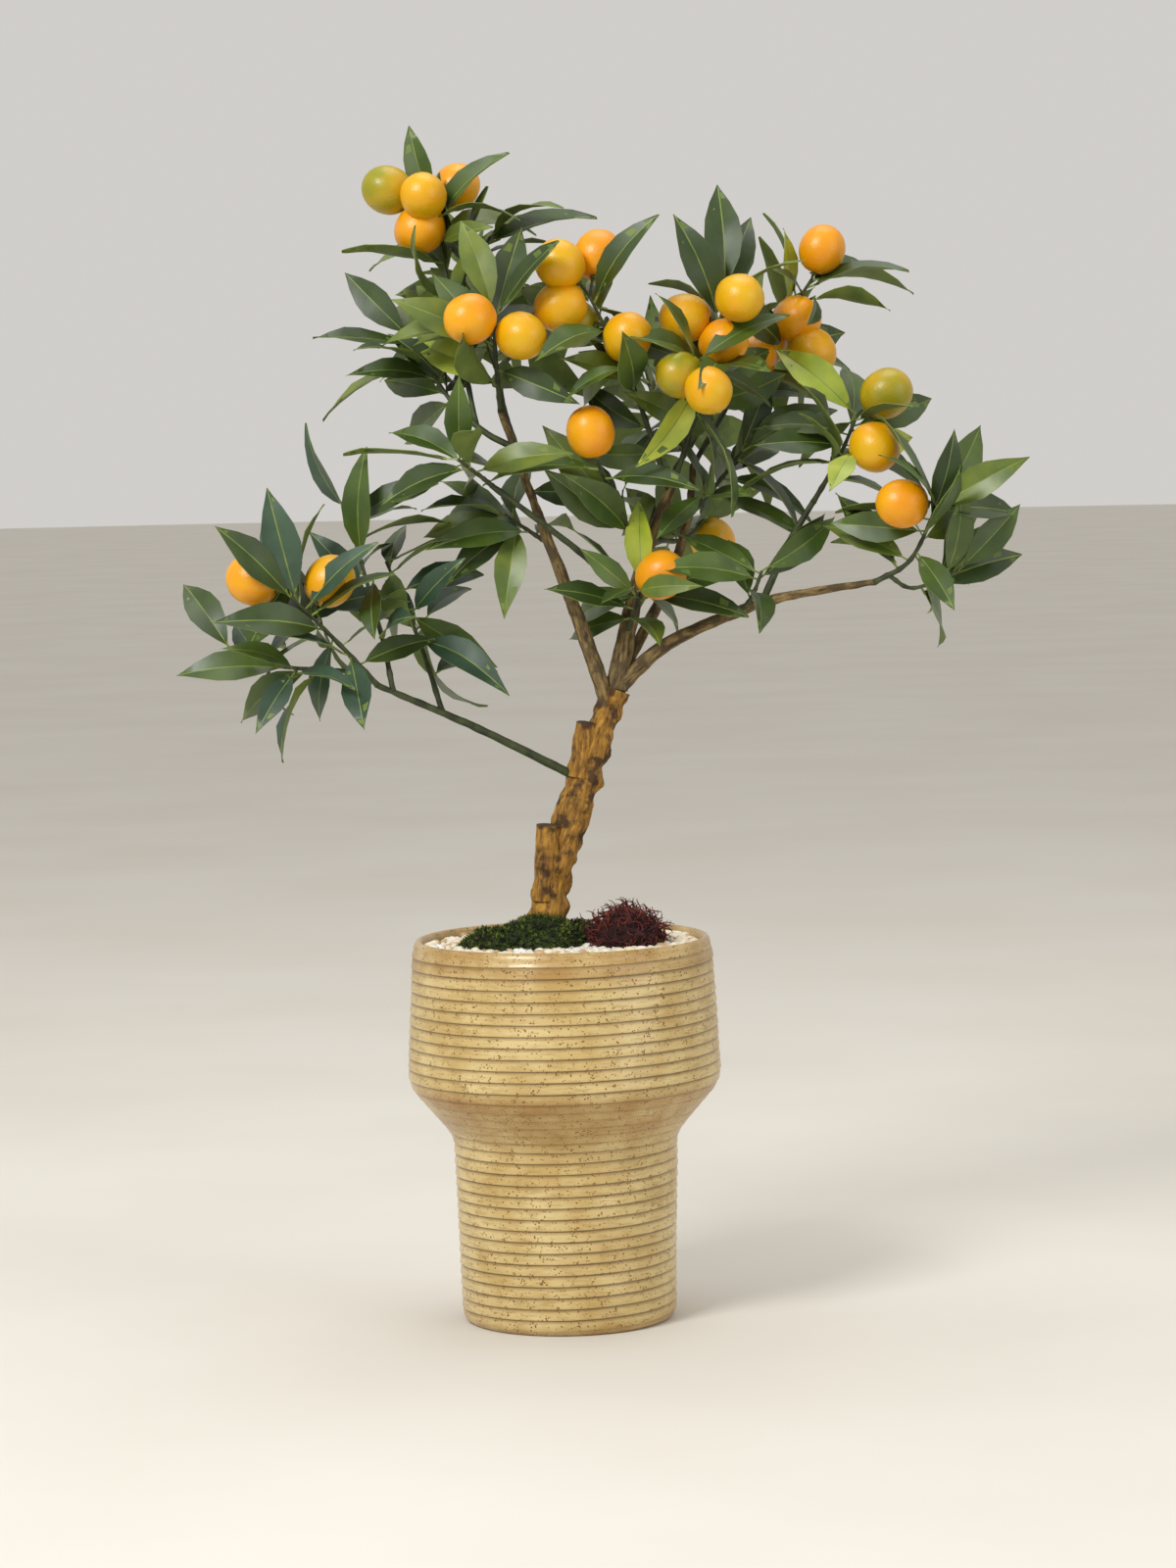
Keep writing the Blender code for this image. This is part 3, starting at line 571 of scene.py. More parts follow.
# Each colour lies over those before it by its own share: clouds of sand, rubbed streaks, warm
# edges, painted shade in the steps under the ridges, and specks
glaze_colour = colour("#D3BD84")
for share, hex_value in (
        (cloudy.outputs[0], "#BDA061"), (streaky.outputs[0], "#9C7A38"), (warm.outputs[0], "#93641F"),
        (groove.outputs["Fac"], "#6A4C1A"), (speck.outputs[0], "#7C5722")):
    layer = add_node(tree, "ShaderNodeMix", {
        0: share, MIX_FIRST: glaze_colour, MIX_SECOND: colour(hex_value)}, data_type="RGBA")
    glaze_colour = layer.outputs[MIX_RESULT]
tree.links.new(glaze_colour, shader.inputs["Base Color"])
pitting = add_node(tree, "ShaderNodeTexNoise", {"Vector": place, "Scale": cells_of(2.5), "Detail": 4.0})
bump = add_node(tree, "ShaderNodeBump", {
    "Height": pitting.outputs[0], "Distance": 0.35 * MM, "Strength": 0.5})
tree.links.new(bump.outputs[0], shader.inputs["Normal"])
print("Finish:", glaze.name)

# %% Push the ridges out by a rule

ridge_rule, start = new_rule("Throwing ridges", {
    "Depth": "Float", "Wobble": "Float", "Finish": "Material"})
band = add_node(ridge_rule, "GeometryNodeInputNamedAttribute", {"Name": "band"}, data_type="FLOAT")
strength = add_node(ridge_rule, "GeometryNodeInputNamedAttribute", {"Name": "ridge"}, data_type="FLOAT")
swell = add_node(ridge_rule, "ShaderNodeFloatCurve", {1: band.outputs[0]})
# How far a band stands out, from its step down to its sharp lower edge
SWELL_CURVE = (
    (0.0, 0.12), (0.14, 0.3), (0.5, 0.68), (0.83, 0.98), (0.91, 0.95), (0.96, 0.0), (1.0, 0.05),
)
curve = swell.mapping.curves[0]
for number, place_on_curve in enumerate(SWELL_CURVE):
    # A new curve has two points already
    if number < 2:
        curve.points[number].location = place_on_curve
    else:
        curve.points.new(*place_on_curve)
for point in curve.points:
    point.handle_type = "VECTOR"
swell.mapping.update()
position = add_node(ridge_rule, "GeometryNodeInputPosition")
slow = add_node(ridge_rule, "ShaderNodeTexNoise", {
    "Vector": position.outputs[0], "Scale": cells_of(38)})
uneven = add_node(ridge_rule, "ShaderNodeMapRange", {
    0: slow.outputs[0], FROM_LEAST: 0.3, FROM_MOST: 0.7, TO_LEAST: 0.55, TO_MOST: 1.15})
stepped = add_node(ridge_rule, "ShaderNodeMapRange", {
    0: swell.outputs[0], FROM_LEAST: 0.45, FROM_MOST: 0.0})
# Three products: how far a band stands out, a slow wave on it, and how deep a point is in a step,
# for the painted shade of the step
products = []
for result, *factors in (
        (swell.outputs[0], strength.outputs[0], uneven.outputs[0], start.outputs["Depth"]),
        (slow.outputs[0], start.outputs["Wobble"], strength.outputs[0]),
        (stepped.outputs[0], strength.outputs[0])):
    for factor in factors:
        times = add_node(ridge_rule, "ShaderNodeMath", {0: result, 1: factor}, operation="MULTIPLY")
        result = times.outputs[0]
    products.append(result)
height = add_node(ridge_rule, "ShaderNodeMath", {0: products[0], 1: products[1]}, operation="ADD")
normal = add_node(ridge_rule, "GeometryNodeInputNormal")
push = add_node(ridge_rule, "ShaderNodeVectorMath", {
    0: normal.outputs[0], "Scale": height.outputs[0]}, operation="SCALE")
moved = add_node(ridge_rule, "GeometryNodeSetPosition", {
    "Geometry": start.outputs["Geometry"], "Offset": push.outputs[0]})
# Store how deep a point is in a step, for the glaze's painted shade there
stored = add_node(ridge_rule, "GeometryNodeStoreNamedAttribute", {
    "Geometry": moved.outputs[0], "Name": "groove", "Value": products[2]},
    data_type="FLOAT", domain="POINT")
real = add_node(ridge_rule, "GeometryNodeRealizeInstances", {"Geometry": stored.outputs[0]})
dressed = add_node(ridge_rule, "GeometryNodeSetMaterial", {
    "Geometry": real.outputs[0], "Material": start.outputs["Finish"]})
add_node(ridge_rule, "NodeGroupOutput", {0: dressed.outputs[0]})

RIDGE_WOBBLE = 0.5
pot = new_piece("pot_glazed", pot_mesh)
follow_rule(pot, ridge_rule, {"Depth": RIDGE_DEPTH * MM, "Wobble": RIDGE_WOBBLE * MM, "Finish": glaze})
finish_piece(pot, "stoneware", "pot")

# %% [markdown]
# ## Potting mix and pebbles
#
# Cream pebbles of 5 to 10 mm cover the mix to just under the rim. A picture of gravel would look
# flat from the side, so each pebble is a shape of its own: six lumpy forms, turned and sized at
# random by the scattering rule. The dark mix below them only shows through the cracks.

# %% Stone and potting mix finishes


def drifting_finish(name, first, second, grain, detail, constants):
    """Material that drifts between two colours over a grain in millimetres."""
    material, tree, shader = new_finish(name, **constants)
    place = add_node(tree, "ShaderNodeTexCoord").outputs["Object"]
    drift = add_node(tree, "ShaderNodeTexNoise", {
        "Vector": place, "Scale": cells_of(grain), "Detail": detail})
    share = add_node(tree, "ShaderNodeMapRange", {
        0: drift.outputs[0], FROM_LEAST: 0.35, FROM_MOST: 0.65})
    mixed = add_node(tree, "ShaderNodeMix", {
        0: share.outputs[0], MIX_FIRST: colour(first), MIX_SECOND: colour(second)}, data_type="RGBA")
    tree.links.new(mixed.outputs[MIX_RESULT], shader.inputs["Base Color"])
    return material, tree, shader, place


# The relief's grain is this much finer than the colour's
RELIEF_FINENESS = 5


def cloudy_finish(name, light, dark, grain, relief, constants):
    """Material that drifts between two colours, with a relief of the given depth in millimetres."""
    material, tree, shader, place = drifting_finish(name, light, dark, grain, 4.0, constants)
    fine = add_node(tree, "ShaderNodeTexNoise", {
        "Vector": place, "Scale": cells_of(grain / RELIEF_FINENESS), "Detail": 3.0})
    bump = add_node(tree, "ShaderNodeBump", {
        "Height": fine.outputs[0], "Distance": relief * MM, "Strength": 0.7})
    tree.links.new(bump.outputs[0], shader.inputs["Normal"])
    return material


# River stone is smooth but unpolished: a soft highlight, with a faint grain
pebble_finishes = [
    cloudy_finish("river_pebble_cream", "#F1E8D4", "#DCCDB0", 6, 0.1, {"Roughness": 0.55}),
    cloudy_finish("river_pebble_white", "#F6F2E8", "#E6DFD0", 6, 0.1, {"Roughness": 0.5}),
    cloudy_finish("river_pebble_tan", "#D9BE93", "#B8966A", 5, 0.1, {"Roughness": 0.6}),
]
# Peat and grit are matt and dark, because their open grain swallows light
potting_mix = cloudy_finish("peat_and_grit", "#4A3826", "#21180F", 4, 0.6, {"Roughness": 0.95})
print("Stone finishes:", [material.name for material in pebble_finishes])

# %% Potting mix, as a low drum under the pebbles

SOIL_TOP = 237.5
MIX_TOP = SOIL_TOP - 2
MIX_DEPTH = 18
MIX_RADIUS = inside_radius - 0.5
MIX_RINGS = 14
MIX_SPOKES = 60
# Lumps on the top, as their height and how many there are to a millimetre
MIX_LUMP = 1.2
MIX_LUMP_SCALE = 0.09


def mix_place(radius, share):
    """Point on the lumpy top of the potting mix, in metres."""
    x, y, z = ring_place(radius, MIX_TOP, share)
    return x, y, z + MIX_LUMP * MM * noise.noise(Vector((x, y, 0)) / MM * MIX_LUMP_SCALE)


points, faces = [mix_place(0, 0)], []
for ring in range(1, MIX_RINGS + 1):
    points += [mix_place(MIX_RADIUS * ring / MIX_RINGS, spoke / MIX_SPOKES)
               for spoke in range(MIX_SPOKES)]
    outer = 1 + (ring - 1) * MIX_SPOKES
    if ring > 1:
        faces += ring_faces(outer - MIX_SPOKES, outer, MIX_SPOKES)
    else:
        faces += [(0, outer + spoke, outer + (spoke + 1) % MIX_SPOKES) for spoke in range(MIX_SPOKES)]
low = len(points)
points += [ring_place(MIX_RADIUS, MIX_TOP - MIX_DEPTH, spoke / MIX_SPOKES)
           for spoke in range(MIX_SPOKES)]
faces += ring_faces(outer, low, MIX_SPOKES)
faces.append(tuple(reversed(range(low, low + MIX_SPOKES))))
mix_mesh = mesh_of("potting_mix", points, faces, sharp_angle=50)
mix_mesh.materials.append(potting_mix)
mix = new_piece("potting_mix", mix_mesh)
finish_piece(mix, "soil", "soil")

# %% Pebbles, scattered by the rule

# A stone is this much longer, narrower and flatter than a ball, and this lumpy
PEBBLE_STRETCH = ((0.95, 1.25), (0.75, 0.95), (0.55, 0.75))
PEBBLE_LUMP = 0.22
PEBBLE_LUMP_SCALE = 1.1
# The flat bed that the stones stand on ends short of the wall, a little above the mix
BED_MARGIN = 3.5
BED_RISE = 1.5
rng = random.Random(4)


def pebble_shape(name, tone):
    """Lumpy stone about 1 mm in half width, flattened a little."""
    bm = bmesh.new()
    bmesh.ops.create_icosphere(bm, subdivisions=2, radius=1)
    offset = Vector([rng.uniform(-9, 9) for axis in range(3)])
    stretch = [rng.uniform(*limits) for limits in PEBBLE_STRETCH]
    for vertex in bm.verts:
        swell = 1 + PEBBLE_LUMP * noise.noise(vertex.co * PEBBLE_LUMP_SCALE + offset)
        vertex.co = Vector([value * size for value, size in zip(vertex.co * swell, stretch)]) * MM
    mesh = mesh_from(bm, name, smooth=True)
    set_tones(mesh, [tone] * len(mesh.polygons))
    return mesh


PEBBLE_TONES = (0, 1, 0, 0, 2, 1)
pebbles_to_pick = shape_collection(
    "pebble", [pebble_shape(f"pebble_{n}", tone) for n, tone in enumerate(PEBBLE_TONES)])
bm = bmesh.new()
bmesh.ops.create_circle(bm, cap_ends=True, segments=48, radius=(MIX_RADIUS - BED_MARGIN) * MM)
bmesh.ops.translate(bm, vec=(0, 0, (SOIL_TOP + BED_RISE) * MM), verts=bm.verts)
pebbles = new_piece("pebbles", mesh_from(bm, "pebble_bed"))
follow_rule(pebbles, scatter_shapes, {
    "Shapes": pebbles_to_pick, "Spacing": 5.4 * MM, "Least size": 2.5, "Greatest size": 4.6,
    "Tilt": 0.5, "Seed": 3, **by_tone(*pebble_finishes)})
finish_piece(pebbles, "pebbles")

# %% [markdown]
# ## Moss
#
# Two mosses cushion the foot of the trunk: a short dark green one, and one of curly maroon
# threads. Fur made of hair would be lost on export, so each cushion is a lumpy mound with real
# tufts on it: small fans of blades for the green moss, and bent three-sided threads for the other.

# %% Moss finishes

# Moss is made of thin matt blades, so it has no shine. Each moss's first finish is nearly black
# painted shade, for the cushion under its blades and for a few of its tufts and threads
green_moss = [
    cloudy_finish("sheet_moss_shade", "#2B3A12", "#141C08", 5, 0.8, {"Roughness": 0.95}),
    cloudy_finish("sheet_moss_green", "#4C5E1B", "#2C3C10", 5, 0.4, {"Roughness": 0.9}),
    cloudy_finish("sheet_moss_tips", "#7C8331", "#4F6420", 5, 0.4, {"Roughness": 0.9}),
]
red_moss = [
    cloudy_finish("thread_moss_shade", "#33110F", "#160708", 5, 0.8, {"Roughness": 0.95}),
    cloudy_finish("thread_moss_maroon", "#5E1B1C", "#3C1012", 6, 0.2, {"Roughness": 0.75}),
    cloudy_finish("thread_moss_russet", "#8A3A22", "#5C2119", 6, 0.2, {"Roughness": 0.75}),
]
print("Moss finishes:", len(green_moss) + len(red_moss))

# %% Tufts of the green moss

TUFT_BLADES = 5
TUFT_HEIGHT = 3.2
TUFT_SPREAD = 1.6
TUFT_HALF_WIDTH = 0.35
# How much further or less far a blade's tip reaches out and up than the tuft's own size
TIP_OUT = (0.7, 1.2)
TIP_UP = (0.7, 1.1)
TUFT_TONES = (1, 1, 0, 2, 1)


def moss_tuft(name, tone):
    """Fan of narrow pointed blades."""
    points, faces = [], []
    for blade in range(TUFT_BLADES):
        angle = math.tau * (blade + rng.random() * 0.5) / TUFT_BLADES
        out = Vector((math.cos(angle), math.sin(angle), 0))
        across = Vector((-out.y, out.x, 0)) * TUFT_HALF_WIDTH
        reach = rng.uniform(*TIP_OUT)
        tip = out * TUFT_SPREAD * reach + Vector((0, 0, TUFT_HEIGHT * rng.uniform(*TIP_UP)))
        middle = tip * 0.5 + Vector((0, 0, TUFT_HEIGHT * 0.15))
        first = len(points)
        points += [(-across) * MM, across * MM, (middle + across * 0.8) * MM,
                   (middle - across * 0.8) * MM, tip * MM]
        faces += [(first, first + 1, first + 2, first + 3), (first + 3, first + 2, first + 4)]
    mesh = mesh_of(name, points, faces)
    set_tones(mesh, [tone] * len(mesh.polygons))
    return mesh


tufts = shape_collection("moss_tuft", [
    moss_tuft(f"moss_tuft_{n}", tone) for n, tone in enumerate(TUFT_TONES)])

# %% Threads of the maroon moss

# A thread is as thick as this at each of its steps, turns by so many radians and curls over
THREAD_WIDTHS = (0.75, 0.75, 0.75, 0.75, 0.75, 0.55, 0.3)
THREAD_TURNS = (0.4, 1.1)
THREAD_DROOP = -0.22
THREAD_CURL = 0.55
# The tone and the length of each thread
THREADS = ((1, 9), (2, 13), (1, 12), (0, 8), (1, 15), (2, 10), (1, 11))


def tube_shape(route, widths, sides):
    """Points and faces of a closed tube, in millimetres, round a route with a width at each point."""
    points, faces = [], []
    side = (route[1] - route[0]).normalized().orthogonal().normalized()
    for number, (place, width) in enumerate(zip(route, widths)):
        ahead = (route[min(number + 1, len(route) - 1)] - route[max(number - 1, 0)]).normalized()
        side = (side - ahead * side.dot(ahead)).normalized()
        up = ahead.cross(side)
        for corner in range(sides):
            angle = math.tau * corner / sides
            points.append(place + (side * math.cos(angle) + up * math.sin(angle)) * width / 2)
        if number:
            faces += ring_faces((number - 1) * sides, number * sides, sides)
    faces = [tuple(reversed(face)) for face in faces]
    faces.append(tuple(reversed(range(sides))))
    faces.append(tuple(range(len(points) - sides, len(points))))
    return points, faces


def moss_thread(name, tone, length):
    """Curly three-sided thread that rises and bends over."""
    turn = rng.uniform(0, math.tau)
    place, route = Vector((0, 0, -1)), []
    heading = Vector((0, 0, 1))
    for step in THREAD_WIDTHS:
        route.append(place.copy())
        place += heading * length / (len(THREAD_WIDTHS) - 1)
        turn += rng.uniform(*THREAD_TURNS)
        pull = Vector((math.cos(turn), math.sin(turn), THREAD_DROOP)) * THREAD_CURL
        heading = (heading + pull).normalized()
    points, faces = tube_shape(route, THREAD_WIDTHS, 3)
    mesh = mesh_of(name, [point * MM for point in points], faces)
    set_tones(mesh, [tone] * len(mesh.polygons))
    return mesh


threads = shape_collection("moss_thread", [
    moss_thread(f"moss_thread_{n}", tone, length) for n, (tone, length) in enumerate(THREADS)])

# %% Mounds of moss

Mound = namedtuple("Mound", "centre size")
Moss = namedtuple("Moss", "grown mounds nap finishes shapes spacing tilt seed")
# What is grown on it stands out of a cushion by its nap
MOSSES = {
    "green": Moss("tufts", (
        Mound((-40, -12), (28, 27, 17)),
        Mound((-14, -14), (32, 27, 25)),
        Mound((8, 14), (22, 20, 19)),
    ), 2.5, green_moss, tufts, 1.5, 0.5, 5),
    "red": Moss("threads", (
        Mound((42, -14), (26, 26, 28)),
        Mound((40, 10), (25, 20, 26)),
    ), 3, red_moss, threads, 1.9, 0.9, 6),
}
MOUND_LUMP = 3
MOUND_LUMP_SCALE = 0.13
MOUND_BURIED = 3


def mound_mesh(name, mounds, nap):
    """Lumpy domes on the potting mix."""
    bm = bmesh.new()
    for mound in mounds:
        made = bmesh.ops.create_icosphere(bm, subdivisions=4, radius=1)["verts"]
        for vertex in made:
            size = [value * (part - nap) for value, part in zip(vertex.co, mound.size)]
            spot = Vector(size) + Vector((*mound.centre, MIX_TOP))
            spot += vertex.co * MOUND_LUMP * noise.noise(spot * MOUND_LUMP_SCALE)
            vertex.co = spot * MM
        hidden = [vertex for vertex in made if vertex.co.z < (MIX_TOP - MOUND_BURIED) * MM]
        bmesh.ops.delete(bm, geom=hidden, context="VERTS")
    return mesh_from(bm, name, smooth=True)


print("Mounds:", {name: len(moss.mounds) for name, moss in MOSSES.items()})

# %% Cushions and what grows on them


def closed_mound(name, mounds, nap, material):
    """The mounds with their undersides closed."""
    mesh = mound_mesh(name, mounds, nap)
    bm = bmesh.new()
    bm.from_mesh(mesh)
    bmesh.ops.holes_fill(bm, edges=[edge for edge in bm.edges if edge.is_boundary])
    bmesh.ops.recalc_face_normals(bm, faces=bm.faces)
    bm.to_mesh(mesh)
    bm.free()
    mesh.materials.append(material)
    return new_piece(name, mesh)


for name, moss in MOSSES.items():
    # The cushion takes the moss's first finish, the painted shade under its blades
    cushion = closed_mound(f"moss_{name}_cushion", moss.mounds, moss.nap, moss.finishes[0])
    finish_piece(cushion, f"{name}_moss", f"moss_{name}")
    label = f"moss_{name}_{moss.grown}"
    cover = new_piece(label, mound_mesh(label, moss.mounds, moss.nap))
    follow_rule(cover, scatter_shapes, {
        "Shapes": moss.shapes, "Spacing": moss.spacing * MM, "Least size": 0.7, "Greatest size": 1.3,
        "Tilt": moss.tilt, "Seed": moss.seed, **by_tone(*moss.finishes)})
    finish_piece(cover, f"{name}_moss", f"moss_{name}")

# %% [markdown]
# ## Routes of the limbs
#
# The trunk and boughs are the same limbs as in the frame, so their sizes are repeated here: each
# bough leaves its carrier at a share of the way along it, and tapers to its tip. A smooth curve
# through a few points gives each route, and later steps ask for places along it.

# %% Trunk, stumps and boughs as named sizes

TRUNK = (
    ((-12, -1, SOIL_TOP + CLEAR), 36),
    ((-12, -1, 243), 29),
    ((-9, 0, 254), 24),
    ((-4, 1, 281), 21),
    ((9, 4, 323), 22),
    ((23, 6, 362), 20),
    ((28, 7, 376), 17),
    ((38, 8, 400), 17),
)
LOW_STUMP = (((-10, -3, 268), 17), ((-7, -5, 316), 15))
HIGH_STUMP = (((14, 3, 346), 17), ((18, 0, 380), 13))

Bough = namedtuple("Bough", "carrier share via thick thin")
BOUGHS = {
    "bough_leader": Bough("trunk", 1, ((45, 11, 434), (59, 14, 487), (78, 12, 533)), 15, 6),
    "bough_left": Bough("trunk", 0.93, ((12, -5, 454), (-6, -15, 504), (-31, -16, 577)), 11, 4),
    "bough_right": Bough("trunk", 1, ((72, 6, 429), (135, -14, 455), (200, -34, 466)), 11, 4),
    "bough_second": Bough("bough_leader", 0.05, ((71, 32, 463), (86, 34, 508), (90, 42, 540)), 8, 4.4),
    "bough_low_left": Bough("trunk", 0.64, ((-48, -20, 378), (-111, -36, 408)), 6, 4),
    "bough_cross": Bough("bough_leader", 0.42, ((18, -18, 487), (-37, -36, 531)), 5, 3.6),
    "bough_upper_left": Bough("bough_left", 0.88, ((-38, -16, 562), (-52, -11, 573)), 4.4, 3.6),
    "bough_upright": Bough("bough_right", 0.6, ((147, -10, 489), (164, -4, 516)), 4.8, 3.8),
    "bough_back_right": Bough("bough_leader", 0.35, ((67, 72, 512), (80, 96, 538)), 6, 4),
    "bough_back_left": Bough("bough_left", 0.79, ((-30, 50, 578), (-33, 74, 596)), 5, 3.8),
}
print("Boughs:", len(BOUGHS))

# %% Smooth routes along the limbs


def smooth_route(points, steps):
    """Points on a smooth curve through the given ones, with steps stretches between neighbours."""
    points = [Vector(point) for point in points]
    ends = [2 * points[0] - points[1], *points, 2 * points[-1] - points[-2]]
    curve = []
    for before, start, stop, after in zip(ends, ends[1:], ends[2:], ends[3:]):
        for step in range(steps):
            t = step / steps
            bend = (2 * before - 5 * start + 4 * stop - after) * t ** 2
            twist = (3 * start - before - 3 * stop + after) * t ** 3
            curve.append((2 * start + (stop - before) * t + bend + twist) / 2)
    curve.append(points[-1])
    return curve


def place_along(route, share):
    """Point and direction at a share of the way along a route."""
    lengths = [(b - a).length for a, b in zip(route, route[1:])]
    left = share * sum(lengths)
    for start, stop, length in zip(route, route[1:], lengths):
        if left <= length:
            break
        left -= length
    else:
        left = length
    direction = (stop - start).normalized()
    return start + direction * left, direction


def smooth_widths(widths, steps):
    """Widths on a smooth curve through the given ones, as in smooth_route."""
    return [point.x for point in smooth_route([(width, 0, 0) for width in widths], steps)]


def tapered(route, thick, thin):
    """Widths that fall evenly from a limb's root to its tip."""
    last = len(route) - 1
    return [thick + (thin - thick) * number / last for number in range(last + 1)]


def shoot_route(shoot, carrier):
    """Smooth route of a shoot or bough from its place on its carrier's route."""
    start, along = place_along(carrier, shoot.share)
    return smooth_route([start, *shoot.via], 2 if len(shoot.via) > 2 else 3)


routes = {"trunk": smooth_route([middle for middle, width in TRUNK], 2)}
routes["trunk"][1] = Vector((*routes["trunk"][0].xy, routes["trunk"][1].z))
for name, bough in BOUGHS.items():
    routes[name] = shoot_route(bough, routes[bough.carrier])
print("Limbs:", len(routes))

# %% [markdown]
# ## Bark with relief
#
# Old kumquat bark is ochre, knobby and flaking, while the boughs are grey brown with pale cracks
# that run lengthwise. A bump map would vanish against the sky at the edges, so the relief is in
# the mesh: rings of points every 1.5 mm, moved in and out by noise that is stretched along the
# limb. Each point also keeps its place on the unrolled limb, as the attribute "grain", so the
# colours follow the bark however the limb bends.

# %% Bark finishes


def bark_finish(name, ridge, valley, stain, streak_share):
    """Bark that reads its own grain: pale ridges over dark cracks, with stains."""
    material, tree, shader = new_finish(name, Roughness=0.85)
    grain = add_node(tree, "ShaderNodeAttribute", attribute_name="grain").outputs["Vector"]
    place = add_node(tree, "ShaderNodeTexCoord").outputs["Object"]
    streaks = add_node(tree, "ShaderNodeTexNoise", {
        "Vector": grain, "Scale": cells_of(2.4), "Detail": 5.0, "Roughness": 0.65})
    share = add_node(tree, "ShaderNodeMapRange", {
        0: streaks.outputs[0], FROM_LEAST: 0.38, FROM_MOST: streak_share})
    patches = add_node(tree, "ShaderNodeTexNoise", {
        "Vector": place, "Scale": cells_of(10), "Detail": 4.0})
    stained = add_node(tree, "ShaderNodeMapRange", {
        0: patches.outputs[0], FROM_LEAST: 0.5, FROM_MOST: 0.62, TO_MOST: 0.92})
    wood = colour(valley)
    for part, hex_value in ((share.outputs[0], ridge), (stained.outputs[0], stain)):
        layer = add_node(tree, "ShaderNodeMix", {
            0: part, MIX_FIRST: wood, MIX_SECOND: colour(hex_value)}, data_type="RGBA")
        wood = layer.outputs[MIX_RESULT]
    tree.links.new(wood, shader.inputs["Base Color"])
    bump = add_node(tree, "ShaderNodeBump", {
        "Height": streaks.outputs[0], "Distance": 0.8 * MM, "Strength": 0.8})
    tree.links.new(bump.outputs[0], shader.inputs["Normal"])
    return material


# Dry bark scatters light, and only its colour and its own shadows tell ridge from crack
trunk_bark = bark_finish("flaking_trunk_bark", "#B5862F", "#6B4718", "#38220B", 0.64)
bough_bark = bark_finish("fissured_bough_bark", "#8E7748", "#3B2D19", "#4B3D25", 0.62)
# A weathered saw cut has gone nearly black
cut_wood = cloudy_finish("weathered_cut_wood", "#4A3420", "#1E140B", 4, 0.5, {"Roughness": 0.9})
# Twigs of this year are still green, and a little waxy
green_twig = cloudy_finish("green_twig", "#3F4A22", "#23290F", 8, 0.15, {"Roughness": 0.6})
print("Bark finishes:", trunk_bark.name, bough_bark.name)

# %% How deep the bark is

RING_STEP = 1.5
LEAST_RINGS = 8
# Cracks and flakes are drawn out along the limb, as its length counts for this much of its girth
GRAIN_SHARE = 0.22
KNOB_SHARE = 0.8
# How many cracks, flakes and knobs there are to a millimetre, and how deep the first two go
CRACK_SCALE, FLAKE_SCALE, KNOB_SCALE = 0.55, 1.3, 0.13
CRACK_DEPTH, FLAKE_DEPTH = 0.9, 0.7
# Cracks read the noise well away from flakes, so that the two do not fall together
CRACKS_APART = Vector((0, 0, 50))
# Faces round a limb, and the height of its cracks and of its knobs in millimetres
Skin = namedtuple("Skin", "sides cracks knobs")
TRUNK_SKIN = Skin(56, 1.2, 3.4)
STUMP_SKIN = Skin(36, 0.8, 1.4)
OLD_BOUGH_SKIN = Skin(22, 0.5, 0.5)
GREEN_BOUGH_SKIN = Skin(22, 0.25, 0.5)
print("The deepest cracks of the trunk are about", TRUNK_SKIN.cracks, "mm")

# %% Limbs with their bark in the mesh


def length_of(route):
    """Length of a route."""
    return sum((b - a).length for a, b in zip(route, route[1:]))


def limb_mesh(name, route, widths, skin, finishes, cut_end=False):
    """Dense tube round a route, with cracks along it, knobs on it and closed ends."""
    sides = skin.sides
    count = max(LEAST_RINGS, int(length_of(route) / RING_STEP))
    fine = smooth_route(route, 6)
    wide = smooth_widths(widths, 6)
    lengths = [0.0]
    for start, stop in zip(fine, fine[1:]):
        lengths.append(lengths[-1] + (stop - start).length)
    points, grain, faces = [], [], []
    side = (fine[1] - fine[0]).normalized().orthogonal().normalized()
    number = 0
    for ring in range(count + 1):
        along = lengths[-1] * ring / count
        while number < len(fine) - 2 and along > lengths[number + 1]:
            number += 1
        share = (along - lengths[number]) / max(lengths[number + 1] - lengths[number], 1e-9)
        middle = fine[number].lerp(fine[number + 1], share)
        radius = (wide[number] + (wide[number + 1] - wide[number]) * share) / 2
        ahead = (fine[number + 1] - fine[number]).normalized()
        side = (side - ahead * side.dot(ahead)).normalized()
        up = ahead.cross(side)
        for corner in range(sides):
            angle = math.tau * corner / sides
            out = side * math.cos(angle) + up * math.sin(angle)
            spot = Vector((math.cos(angle) * radius, math.sin(angle) * radius, along * GRAIN_SHARE))
            cracks = noise.noise(spot * CRACK_SCALE + CRACKS_APART)
            flakes = abs(noise.noise(spot * FLAKE_SCALE))
            knobs = noise.noise(Vector((spot.x, spot.y, along * KNOB_SHARE)) * KNOB_SCALE)
            lift = skin.cracks * (CRACK_DEPTH * cracks - FLAKE_DEPTH * flakes) + skin.knobs * knobs
            points.append((middle + out * (radius + lift)) * MM)
            grain.append(spot * MM)
        if ring:
            faces += [tuple(reversed(face)) for face in
                      ring_faces((ring - 1) * sides, ring * sides, sides)]
    for first, middle, order in ((0, fine[0], -1), (count * sides, fine[-1], 1)):
        points.append(middle * MM)
        grain.append(Vector((0, 0, 0)))
        for corner in range(sides):
            edge = (first + corner, first + (corner + 1) % sides)
            faces.append((*edge[::order], len(points) - 1))
    mesh = mesh_of(name, points, faces, sharp_angle=60)
    flat = [value for vector in grain for value in vector]
    mesh.attributes.new("grain", "FLOAT_VECTOR", "POINT").data.foreach_set("vector", flat)
    for material in finishes:
        mesh.materials.append(material)
    if cut_end:
        for face in mesh.polygons[-sides:]:
            face.material_index = 1
    return mesh


print("The trunk is", round(length_of(routes["trunk"])), "mm long")

# %% Trunk and stumps


